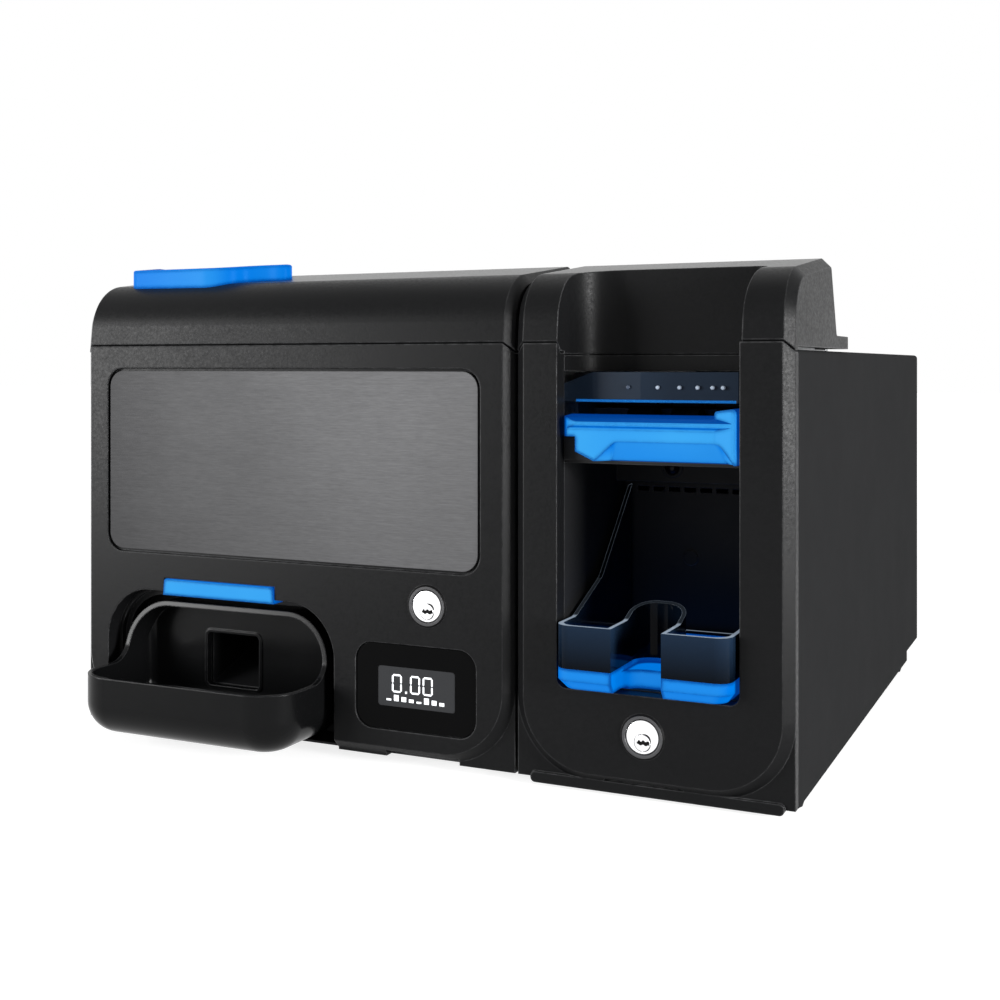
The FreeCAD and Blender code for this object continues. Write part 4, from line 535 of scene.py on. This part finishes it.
def blue_with_painted_glow():
    """Translucent blue plastic with a painted glow: painted light where it faces the front, painted shade at its
    edges and folds.
    """
    material, tree, shader = finish("blue plastic with painted glow")
    grain = placed(tree, "grain", Grain_mm=0.5, Tone_change=0.1)
    edges = placed(tree, "edges", Radius_mm=4.5, Breaks=0.0)
    marks = placed(tree, "marks", Low=0.26, High=0.36)
    # Painted shade in the folds, from occlusion
    fold = add(tree, "ShaderNodeAmbientOcclusion", samples=8, in_Distance=0.007)
    unshaded_by_folds = spread(tree, fold.outputs["AO"], 0.35, 0.85)
    facing = direction(tree, "Normal")
    place = position(tree)
    # Painted light where it faces the front, painted shade towards the back and low down, and a painted glow darker
    # towards the left end of the coin inlet
    facing_light = spread(tree, maths(tree, "MULTIPLY", facing["Y"], -1.0), 0.62, 0.98)
    behind = spread(tree, place["Y"], *along("Y", *GLOW_FADE_YS), 1.0, 0.15)
    low_shade = spread(tree, place["Z"], *along("Z", *GLOW_RISE_ZS), 0.35, 1.0)
    cloud = spread(tree, noise(tree, stretched(tree), 18.0, 2.0), 0.25, 0.7, 0.75, 1.0)
    foot, = along("Z", INLET_FOOT)
    inlet = spread(tree, place["X"], *along("X", *INLET_ENDS), 0.0, 0.8)
    inlet = maths(tree, "MAXIMUM", inlet, spread(tree, place["Z"], foot, foot - SHARP_M))
    bright = facing_light
    for factor in (unshaded_by_folds, behind, low_shade, cloud, inlet):
        bright = maths(tree, "MULTIPLY", bright, factor)
    # Painted highlight on the lip's lower bevel, brighter towards its foot
    low, high = along("Z", *LIP_CHIN)
    chin_highlight = spread(tree, place["Z"], high, low, 0.0, 0.9)
    chin_highlight = maths(tree, "MULTIPLY", chin_highlight, spread(tree, place["Z"], low - 4 * SHARP_M, low - 3 * SHARP_M))
    chin_highlight = maths(tree, "MULTIPLY", chin_highlight, spread(tree, facing_light, 0.9, 0.3))
    bright = maths(tree, "MAXIMUM", bright, chin_highlight)
    # Painted shade lines along edges and in folds, and painted shade on the lip's upper shelf
    line = maths(tree, "MULTIPLY", edges.outputs["Mask"], 2.0, clamp=True)
    line = maths(tree, "MAXIMUM", line, spread(tree, unshaded_by_folds, 0.8, 0.1, 0.0, 0.9))
    shelf = spread(tree, facing["Z"], 0.15, 0.4, 0.0, 0.95)
    low, high = along("Z", *LIP_SHELF)
    for start, end in ((low, low + SHARP_M), (high, high - SHARP_M)):
        shelf = maths(tree, "MULTIPLY", shelf, spread(tree, place["Z"], start, end))
    line = maths(tree, "MAXIMUM", line, shelf)
    glow = blend_colours(tree, bright, BLUE_SHADED, BLUE_LIT)
    tree.links.new(blend_colours(tree, line, glow, BLUE_SHADE_LINE), shader.inputs["Emission Color"])
    tinted(tree, shader, grain.outputs["Tone"], edges.outputs["Mask"], (0.0, 0.02, 0.07), (0.0, 0.03, 0.12))
    tree.links.new(marks.outputs["Roughness"], shader.inputs["Roughness"])
    relief(tree, shader, grain.outputs["Height"], 0.004, edges.outputs["Normal"])
    hold(shader, Emission_Strength=0.88, Specular_IOR_Level=0.03, Specular_Tint=(0.2, 0.6, 1.0, 1))
    return material


def smoked_clear():
    """Smoked navy guard: dark clear walls, darkened by painted shade towards the tray and the back, with a painted
    highlight as a thin bright line along their cut edges.
    """
    material, tree, shader = finish("smoked guard plastic")
    edges = placed(tree, "edges", Radius_mm=0.45, Breaks=0.0)
    marks = placed(tree, "marks", Low=0.06, High=0.14, Patch_mm=30.0)
    grain = placed(tree, "grain", Grain_mm=2.0, Tone_change=0.1)
    facing = direction(tree, "True Normal")
    place = position(tree)
    # Painted highlight on the level rim faces and along the edges of sloped ones
    level = spread(tree, facing["Z"], 0.93, 0.98, 0.0, 0.55)
    sloped = maths(tree, "MULTIPLY", spread(tree, facing["Z"], 0.3, 0.6),
                   spread(tree, edges.outputs["Mask"], 0.0, 1.0, 0.0, 0.6))
    line = maths(tree, "MAXIMUM", level, sloped)
    # Painted shade: darker towards the tray and towards the back
    rise = spread(tree, place["Z"], *along("Z", *GUARD_WALL_ZS), 0.1, 1.0)
    back_shade = spread(tree, place["Y"], *along("Y", *GUARD_SHADE_YS), 1.0, 0.2)
    tone = maths(tree, "MULTIPLY", grain.outputs["Tone"], maths(tree, "MULTIPLY", rise, back_shade))
    tinted(tree, shader, tone, line, GUARD_NAVY, GUARD_RIM_HIGHLIGHT)
    tree.links.new(blend_colours(tree, line, (0.0, 0.0, 0.0), GUARD_EDGE_GLOW), shader.inputs["Emission Color"])
    tree.links.new(marks.outputs["Roughness"], shader.inputs["Roughness"])
    tree.links.new(edges.outputs["Normal"], shader.inputs["Normal"])
    hold(shader, Emission_Strength=0.8, Transmission_Weight=0.05, IOR=1.25, Specular_IOR_Level=0.16)
    return material


def gloss(name, colour, sheen, specular):
    """Polished plastic or glass face with faint finger marks."""
    material, tree, shader = finish(name)
    edges = placed(tree, "edges", Radius_mm=0.35, Breaks=0.1)
    marks = placed(tree, "marks", Low=sheen[0], High=sheen[1], Patch_mm=18.0)
    grain = placed(tree, "grain", Grain_mm=1.2, Tone_change=0.12)
    tinted(tree, shader, grain.outputs["Tone"], edges.outputs["Mask"], colour, lighter(colour, 1.8, 0.004))
    tree.links.new(marks.outputs["Roughness"], shader.inputs["Roughness"])
    tree.links.new(edges.outputs["Normal"], shader.inputs["Normal"])
    hold(shader, Specular_IOR_Level=specular)
    return material


def indicator_lens():
    """Dark indicator lens with a painted highlight: a small bright middle that glows, in a dark rim. The first of
    the row is dim.
    """
    material, tree, shader = finish("indicator lens")
    edges = placed(tree, "edges", Radius_mm=0.9, Breaks=0.0)
    marks = placed(tree, "marks", Low=0.1, High=0.2, Patch_mm=3.0)
    first_end, = along("X", FIRST_LENS_END)
    highlight_share = spread(tree, position(tree)["X"], first_end, first_end + SHARP_M, 0.12, 1.0)
    # Painted highlight in the middle of each lens, dim on the first
    middle = maths(tree, "SUBTRACT", 1.0, edges.outputs["Mask"], clamp=True)
    middle = maths(tree, "MULTIPLY", middle, highlight_share)
    glow = blend_colours(tree, middle, (0.012, 0.022, 0.045), (0.30, 0.35, 0.42))
    tree.links.new(glow, shader.inputs["Base Color"])
    tree.links.new(glow, shader.inputs["Emission Color"])
    tree.links.new(marks.outputs["Roughness"], shader.inputs["Roughness"])
    tree.links.new(edges.outputs["Normal"], shader.inputs["Normal"])
    hold(shader, Emission_Strength=0.3, Specular_IOR_Level=0.2)
    return material


def screen_face():
    """Dark graphic screen with its faint dot grid."""
    material, tree, shader = finish("screen face")
    gaps = placed(tree, "dots", Gap_start=0.38).outputs["Gaps"]
    dark = blend_colours(tree, gaps, (0.026, 0.027, 0.029), (0.014, 0.0145, 0.016))
    tree.links.new(dark, shader.inputs["Base Color"])
    marks = placed(tree, "marks", Low=0.16, High=0.26, Patch_mm=14.0)
    tree.links.new(marks.outputs["Roughness"], shader.inputs["Roughness"])
    hold(shader, Specular_IOR_Level=0.15)
    return material


def lit_segment():
    """Segments of the screen's reading: soft white with the screen's dot grid."""
    material, tree, shader = finish("lit segment")
    gaps = placed(tree, "dots", Gap_start=0.36).outputs["Gaps"]
    glow = blend_colours(tree, gaps, (0.80, 0.82, 0.84), (0.45, 0.47, 0.50))
    tree.links.new(glow, shader.inputs["Emission Color"])
    tree.links.new(glow, shader.inputs["Base Color"])
    hold(shader, Emission_Strength=0.75, Roughness=0.4)
    return material


def board_face():
    """Circuit board lacquer over copper tracks."""
    material, tree, shader = finish("board lacquer")
    tracks = add(tree, "ShaderNodeTexVoronoi", feature="DISTANCE_TO_EDGE", distance="MANHATTAN", in_Scale=150.0)
    tree.links.new(stretched(tree), tracks.inputs["Vector"])
    lines = spread(tree, tracks.outputs["Distance"], 0.08, 0.12)
    lacquer = blend_colours(tree, lines, (0.03, 0.16, 0.07), (0.012, 0.085, 0.035))
    tree.links.new(lacquer, shader.inputs["Base Color"])
    marks = placed(tree, "marks", Low=0.25, High=0.4, Patch_mm=12.0)
    tree.links.new(marks.outputs["Roughness"], shader.inputs["Roughness"])
    relief(tree, shader, lines, 0.03)
    return material


# The second colour of each moulded finish is that of its scuffed edges, which also carry a painted edge highlight
FINISHES = {
    "case_paint": moulded(
        "black powder coat", (0.0060, 0.0062, 0.0066), (0.055, 0.055, 0.057), grain_mm=0.8, depth_mm=0.016,
        sheen=(0.84, 0.90), specular=0.06, tone=0.2, wear_and_highlight=0.12, edge_highlight_y=CASE_EDGE_Y),
    "front_plastic": moulded(
        "textured front plastic", (0.0048, 0.0049, 0.0052), (0.12, 0.121, 0.124), grain_mm=1.7, depth_mm=0.04,
        sheen=(0.36, 0.41), specular=0.068, edge_mm=1.3, tone=0.2, wear_and_highlight=0.8, breaks=0.3, skim=0.8, grit=0.42),
    "cup_plastic": moulded(
        "satin cup plastic", (0.0035, 0.0036, 0.0038), (0.05, 0.05, 0.052), grain_mm=0.5, depth_mm=0.002,
        sheen=(0.17, 0.23), specular=0.09, edge_mm=1.2, tone=0.1, wear_and_highlight=0.8, breaks=0.2, skim=0.5),
    "liner_plastic": moulded(
        "dark lining plastic", (0.0080, 0.0081, 0.0085), (0.11, 0.11, 0.112), grain_mm=0.6, depth_mm=0.012,
        sheen=(0.44, 0.55), specular=0.1, edge_mm=1.0, wear_and_highlight=0.6, breaks=0.3),
    "brushed_metal": brushed(
        "brushed dark panel", (0.056, 0.056, 0.0575), line_mm=0.4, depth_mm=0.008, tone=0.9, sheen=(0.58, 0.64),
        anisotropy=0.5, light_fade=(0.52, 1.2)),
    "blue_light": blue_with_painted_glow(),
    "smoked_guard": smoked_clear(),
    "bezel_plastic": moulded(
        "bezel plastic", (0.009, 0.016, 0.028), (0.03, 0.05, 0.08), grain_mm=0.5, depth_mm=0.006,
        sheen=(0.28, 0.38), specular=0.08, tone=0.1),
    "window_gloss": gloss("piano black window", (0.0012, 0.0012, 0.0013), (0.05, 0.12), 0.045),
    "screen_glass": screen_face(),
    "lens_clear": indicator_lens(),
    "lock_chrome": plated("bright plated lock", (0.88, 0.88, 0.89), 3.0, 0.10, (0.16, 0.26)),
    "rubber_black": moulded(
        "black rubber", (0.010, 0.010, 0.0105), (0.03, 0.03, 0.03), grain_mm=0.4, depth_mm=0.02,
        sheen=(0.7, 0.85), specular=0.1, wear_and_highlight=0.5),
    "zinc_steel": plated("zinc-plated steel", (0.52, 0.53, 0.54), 7.0, 0.25, (0.3, 0.46)),
    "inner_plastic": moulded(
        "grey inner plastic", (0.055, 0.057, 0.06), (0.12, 0.12, 0.125), grain_mm=0.5, depth_mm=0.01,
        sheen=(0.42, 0.55), specular=0.35),
    "board_green": board_face(),
    "motor_metal": plated("bare motor can", (0.6, 0.61, 0.62), 2.0, 0.12, (0.25, 0.36)),
}
SEGMENT_LIGHT = lit_segment()
SHADOW_BLACK = gloss("keyway shadow", (0.004, 0.004, 0.004), (0.4, 0.6), 0.05)
COLLAR_GREY = gloss("grey lock collar", (0.05, 0.05, 0.052), (0.3, 0.45), 0.2)
SENSOR_LENS = gloss("dark sensor lens", (0.006, 0.003, 0.004), (0.06, 0.12), 0.08)
MARK_PAINT = gloss("white marking", (0.55, 0.55, 0.54), (0.35, 0.5), 0.3)
SCREW_STEEL = plated("blackened screw steel", (0.10, 0.10, 0.105), 1.5, 0.15, (0.3, 0.42))
CONTACT_GOLD = plated("gilt contact", (0.75, 0.55, 0.22), 1.0, 0.1, (0.2, 0.3))
CHIP_BLACK = moulded("chip moulding", (0.012, 0.012, 0.0125), (0.04, 0.04, 0.04), grain_mm=0.3, depth_mm=0.006,
                     sheen=(0.5, 0.65), specular=0.3)

# The chute behind the cup takes the dark lining finish over its sheet, as painted shade seen through the cup's exit.
SHADE_DARKENED = {"payout_tray": "liner_plastic"}

for part in frame["record"]["subparts"]:
    for slot in frame["nodes"][part["node"]].material_slots:
        slot.material = FINISHES[SHADE_DARKENED.get(part["node"], part["material_slot"])]


# Small pieces


def piece(name, mesh, body, material, smooth=False):
    """Object from a bmesh that rides on a body."""
    bmesh.ops.recalc_face_normals(mesh, faces=mesh.faces)
    data = bpy.data.meshes.new(name)
    mesh.to_mesh(data)
    mesh.free()
    for face in data.polygons:
        face.use_smooth = smooth
    data.materials.append(material)
    thing = bpy.data.objects.new(name, data)
    bpy.context.scene.collection.objects.link(thing)
    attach(thing, body)


def raised(mesh, outline, face_y, proud_mm):
    """Thin raised shape on a front face, from an outline of (X, Z) places."""
    front = [mesh.verts.new(at(x, face_y - proud_mm, z)) for x, z in outline]
    back = [mesh.verts.new(at(x, face_y + SUNK_SHARE * proud_mm, z)) for x, z in outline]
    mesh.faces.new(front)
    mesh.faces.new(back[::-1])
    count = len(outline)
    for i in range(count):
        j = (i + 1) % count
        mesh.faces.new((front[i], back[i], back[j], front[j]))


def oblong(x0, z0, x1, z1):
    """Outline of an oblong, as (X, Z) places."""
    return [(x0, z0), (x1, z0), (x1, z1), (x0, z1)]


def segment_outline(x, z, length, upright):
    """Pointed bar of a seven-segment digit, from its middle."""
    half = length / 2
    w = SEGMENT_W / 2
    places = [(-half, 0), (w - half, w), (half - w, w), (half, 0), (half - w, -w), (w - half, -w)]
    if upright:
        return [(x + v, z + u) for u, v in places]
    return [(x + u, z + v) for u, v in places]


def arc(centre, radius, start, end, swell=0.0):
    """Places (X, Z) along an arc, with angles in degrees. It swells out between the quarter points."""
    places = []
    for i in range(ARC_STEPS + 1):
        angle = math.radians(start + (end - start) * i / ARC_STEPS)
        reach = radius + swell * abs(math.sin(2 * angle))
        places.append((centre[0] + reach * math.cos(angle), centre[1] + reach * math.sin(angle)))
    return places


def turned(mesh, centre, facing, profile, hollow=False, hexagon_from=None):
    """Turned shape standing on a face, from (radius, height) rings in millimetres.

    A hollow shape closes on itself. From a given ring on, the rings are hexagons.
    """
    turn = Vector((0, 0, 1)).rotation_difference(Vector(facing)).to_matrix().to_4x4()
    move = Matrix.Translation(centre) @ turn
    rings = []
    for count, (radius, height) in enumerate(profile):
        ring = []
        for i in range(TURN_STEPS):
            angle = 2 * math.pi * i / TURN_STEPS
            reach = radius
            if hexagon_from is not None and count >= hexagon_from:
                reach = radius / math.cos((angle + math.pi / 6) % (math.pi / 3) - math.pi / 6)
            place = Vector((reach * math.cos(angle), reach * math.sin(angle), height)) / 1000
            ring.append(mesh.verts.new(move @ place))
        rings.append(ring)
    pairs = list(zip(rings, rings[1:]))
    if hollow:
        pairs.append((rings[-1], rings[0]))
    else:
        mesh.faces.new(rings[-1])
        mesh.faces.new(rings[0][::-1])
    for lower, upper in pairs:
        for i in range(TURN_STEPS):
            j = (i + 1) % TURN_STEPS
            mesh.faces.new((lower[i], lower[j], upper[j], upper[i]))


def screw(mesh, centre, facing, radius, height, socket_radius):
    """Domed screw head with a hexagon socket, standing on a face."""
    head = [(share * radius, rise * height) for share, rise in SCREW_HEAD]
    socket = [(share * socket_radius, rise * height) for share, rise in SCREW_SOCKET]
    turned(mesh, centre, facing, head + socket, hexagon_from=len(head))


def block(mesh, low, high, draft=0.0):
    """Box between two places, drawn in towards its rear face."""
    (x0, y0, z0), (x1, y1, z1) = low, high
    front = [(x, y0, z) for x, z in oblong(x0, z0, x1, z1)]
    back = [(x, y1, z) for x, z in oblong(x0 + draft, z0 + draft, x1 - draft, z1 - draft)]
    corners = [mesh.verts.new(at(*place)) for place in front + back]
    for side in ((0, 3, 2, 1), (4, 5, 6, 7), (0, 1, 5, 4), (1, 2, 6, 5), (2, 3, 7, 6), (3, 0, 4, 7)):
        mesh.faces.new([corners[i] for i in side])


def make_screen_reading():
    """Plain zero reading with a decimal point, over a row of level bars."""
    half_w, half_h, quarter = DIGIT_W / 2, DIGIT_H / 2, DIGIT_H / 4
    middle = DIGITS_FOOT + half_h
    bars = ((0, half_h, False), (half_w, quarter, True), (half_w, -quarter, True),
            (0, -half_h, False), (-half_w, -quarter, True), (-half_w, quarter, True))
    outlines = []
    for centre in DIGIT_MIDDLES:
        for u, v, upright in bars:
            length = (half_h if upright else DIGIT_W) - SEGMENT_GAP
            outlines.append(segment_outline(centre + u, middle + v, length, upright))
    outlines.append(oblong(POINT_X - POINT_HALF_W, DIGITS_FOOT - POINT_HALF_W,
                           POINT_X + POINT_HALF_W, DIGITS_FOOT + POINT_HALF_W))
    for i, height in enumerate(LEVEL_HEIGHTS):
        left = LEVEL_LEFT + i * LEVEL_PITCH
        outlines.append(oblong(left, LEVEL_FOOT, left + LEVEL_W, LEVEL_FOOT + height))
    mesh = bmesh.new()
    for outline in outlines:
        raised(mesh, outline, SCREEN_FACE_Y, READING_PROUD)
    piece("screen_reading", mesh, "coin_drawer", SEGMENT_LIGHT)


def make_keyway_shadow(name, plug, body):
    """Painted shadow of the waved keyway in a lock plug, open to its right edge."""
    mesh = bmesh.new()
    raised(mesh, [(plug[0] + u, plug[1] + v) for u, v in KEYWAY], PLUG_FACE_Y, LOCK_SHADOW_PROUD)
    piece(name, mesh, body, SHADOW_BLACK)


def make_plug_shadow_line(name, plug, body):
    """Shadow line round a lock plug, widest at its upper right."""
    mesh = bmesh.new()
    for start, end, width, swell in LOCK_LINES:
        outer = arc(plug, LOCK_LINE_R + width, start, end, swell)
        raised(mesh, outer + arc(plug, LOCK_LINE_R, end, start), BARREL_FACE_Y, LOCK_SHADOW_PROUD)
    piece(name, mesh, body, SHADOW_BLACK)


def make_lock_collar(name, plug, body):
    """Plastic collar sunk in the ring round a lock's face, with a band of painted shadow round it."""
    for suffix, profile, material in (("", COLLAR, COLLAR_GREY), ("_shadow", COLLAR_SHADOW, SHADOW_BLACK)):
        mesh = bmesh.new()
        turned(mesh, at(plug[0], 0, plug[1] + PLUG_DROP), FRONT, profile, hollow=True)
        piece(name + suffix, mesh, body, material)


def make_payout_sensor():
    """Domed sensor lens in its ring, on the bar over the banknote pocket."""
    mesh = bmesh.new()
    turned(mesh, at(*SENSOR), FRONT, SENSOR_BASE, hollow=True)
    piece("sensor_ring", mesh, "note_drawer", FINISHES["liner_plastic"])
    mesh = bmesh.new()
    turned(mesh, at(*SENSOR), FRONT, SENSOR_DOME)
    piece("sensor_dome", mesh, "note_drawer", SENSOR_LENS, smooth=True)


def make_flange_screws(name, xs, body):
    """Screws that hold a front cover to its chassis, from inside the drawer."""
    mesh = bmesh.new()
    for x in xs:
        for z in FLANGE_SCREW_ZS:
            screw(mesh, at(x, FLANGE_FACE_Y, z), REAR, *FLANGE_SCREW)
    piece(name, mesh, body, SCREW_STEEL)


def make_board_parts():
    """Chips with their legs, cans and screws on the rear face of the control board."""
    chips = bmesh.new()
    metal = bmesh.new()
    for x, z, half_w, half_h, height in BOARD_CHIPS:
        block(chips, (x - half_w, BOARD_FACE_Y + CHIP_LIFT, z - half_h),
              (x + half_w, BOARD_FACE_Y + height, z + half_h), CHIP_DRAFT)
        legs = int(2 * half_h / LEG_PITCH)
        for i in range(legs):
            foot = z - half_h + (i + 0.5) * 2 * half_h / legs
            for side in (-1, 1):
                near, far = sorted((x + side * half_w, x + side * (half_w + LEG_REACH)))
                block(metal, (near, BOARD_FACE_Y, foot - LEG_HALF_W), (far, BOARD_FACE_Y + LEG_H, foot + LEG_HALF_W))
    for x, z in BOARD_CANS:
        turned(metal, at(x, BOARD_FACE_Y, z), REAR, CAN_PROFILE)
    for x, z in BOARD_SCREWS:
        screw(metal, at(x, BOARD_FACE_Y, z), REAR, *BOARD_SCREW)
    piece("board_chips", chips, "coin_drawer", CHIP_BLACK)
    piece("board_metal", metal, "coin_drawer", FINISHES["motor_metal"])


def make_rear_screws():
    """Screws that hold the rear sheets and the power entry."""
    mesh = bmesh.new()
    for x, z in REAR_SCREWS:
        screw(mesh, at(x, REAR_SHEET_Y, z), REAR, *CASE_SCREW)
    for x, z in INLET_SCREWS:
        screw(mesh, at(x, INLET_FACE_Y, z), REAR, *INLET_SCREW)
    piece("rear_screws", mesh, "housing", SCREW_STEEL)


def make_socket_contacts():
    """Row of spring contacts in each data socket."""
    mesh = bmesh.new()
    for x in SOCKET_XS:
        for i in range(CONTACTS):
            left = x + CONTACT_LEFT + i * CONTACT_PITCH
            for (near, foot), (far, top), draft in CONTACT_BLOCKS:
                block(mesh, (left, SOCKET_FACE_Y + near, SOCKET_Z + foot),
                      (left + CONTACT_W, SOCKET_FACE_Y + far, SOCKET_Z + top), draft)
    piece("socket_contacts", mesh, "housing", CONTACT_GOLD)


def make_rocker_marks():
    """Line and ring of the power rocker's two ends."""
    middle, rise, reach = ROCKER_FACE
    x, z = ROCKER_MIDDLE
    half_w, foot, top = ROCKER_LINE
    drop, outer, inner = ROCKER_RING
    ring = (x, z - drop)
    mesh = bmesh.new()
    for outline in (oblong(x - half_w, z + foot, x + half_w, z + top),
                    arc(ring, outer, 0, 180) + arc(ring, inner, 180, 0),
                    arc(ring, outer, 180, 360) + arc(ring, inner, 360, 180)):
        raised(mesh, outline, 0, -ROCKER_MARK_PROUD)
    for corner in mesh.verts:
        height = corner.co.z * 1000 + DRAWING_ORIGIN[2] - z
        corner.co.y += (middle + rise * abs(height) / reach) / 1000
    piece("rocker_marks", mesh, "power_switch", MARK_PAINT)


make_screen_reading()
for module, plug_place in (("coin", COIN_PLUG), ("note", NOTE_PLUG)):
    make_keyway_shadow(module + "_keyway", plug_place, module + "_lock")
    make_plug_shadow_line(module + "_lock_shadow_line", plug_place, module + "_drawer")
    make_lock_collar(module + "_lock_collar", plug_place, module + "_drawer")
make_payout_sensor()
make_flange_screws("coin_flange_screws", COIN_FLANGE_XS, "coin_drawer")
make_flange_screws("note_flange_screws", NOTE_FLANGE_XS, "note_drawer")
make_board_parts()
make_rear_screws()
make_socket_contacts()
make_rocker_marks()


# Studio


def seen(tree):
    """1 where the camera looks straight at a surface, or sees it in gloss or through clear plastic."""
    path = add(tree, "ShaderNodeLightPath")
    either = maths(tree, "MAXIMUM", path.outputs["Is Camera Ray"], path.outputs["Is Glossy Ray"])
    return maths(tree, "MAXIMUM", either, path.outputs["Is Transmission Ray"])


def make_floor():
    """Pale floor that shows the object's shadow and reads as white to the camera."""
    mesh = bmesh.new()
    bmesh.ops.create_grid(mesh, x_segments=1, y_segments=1, size=FLOOR_HALF_M)
    data = bpy.data.meshes.new("studio_floor")
    mesh.to_mesh(data)
    mesh.free()
    floor = bpy.data.objects.new("studio_floor", data)
    bpy.context.scene.collection.objects.link(floor)
    material = bpy.data.materials.new("studio paper")
    material.use_nodes = True
    tree = material.node_tree
    tree.nodes.clear()
    paper = add(tree, "ShaderNodeBsdfDiffuse", in_Color=(PAPER_GREY, PAPER_GREY, PAPER_GREY, 1))
    away = add(tree, "ShaderNodeVectorMath", operation="LENGTH")
    tree.links.new(stretched(tree), away.inputs[0])
    (near, near_white), (far, far_white) = PAPER_NEAR, PAPER_FAR
    whiteness = spread(tree, away.outputs["Value"], near, far, near_white, far_white)
    glow = add(tree, "ShaderNodeEmission")
    tree.links.new(maths(tree, "MULTIPLY", seen(tree), whiteness), glow.inputs["Strength"])
    both = add(tree, "ShaderNodeAddShader")
    out = add(tree, "ShaderNodeOutputMaterial")
    tree.links.new(paper.outputs[0], both.inputs[0])
    tree.links.new(glow.outputs[0], both.inputs[1])
    tree.links.new(both.outputs[0], out.inputs["Surface"])
    data.materials.append(material)


def make_world():
    """White backdrop for the camera, glass and gloss, and a plain soft light on the object."""
    world = bpy.data.worlds.new("studio")
    bpy.context.scene.world = world
    world.use_nodes = True
    tree = world.node_tree
    back = tree.nodes["Background"]
    back.inputs["Color"].default_value = (1, 1, 1, 1)
    tree.links.new(spread(tree, seen(tree), 0.0, 1.0, WORLD_FILL, 1.0), back.inputs["Strength"])


def soft_box(name, place, aim, width, height, power):
    """Rectangular soft light aimed at a place."""
    data = bpy.data.lights.new(name, "AREA")
    data.shape = "RECTANGLE"
    data.size = width
    data.size_y = height
    data.energy = power
    lamp = bpy.data.objects.new(name, data)
    lamp.location = place
    lamp.rotation_euler = (Vector(aim) - Vector(place)).to_track_quat("-Z", "Y").to_euler()
    bpy.context.scene.collection.objects.link(lamp)


def make_camera():
    """Level camera to the right of the fronts, as the photograph was taken."""
    data = bpy.data.cameras.new("studio camera")
    data.sensor_width = SENSOR_MM
    data.lens = LENS_MM
    data.shift_y = LENS_SHIFT
    camera = bpy.data.objects.new("studio camera", data)
    camera.location = CAMERA_PLACE
    camera.rotation_euler = (math.radians(90), 0, math.radians(CAMERA_HEADING))
    bpy.context.scene.collection.objects.link(camera)
    bpy.context.scene.camera = camera


make_floor()
make_world()
for lamp_values in LAMPS:
    soft_box(*lamp_values)
make_camera()

bpy.context.scene.view_settings.view_transform = "Standard"
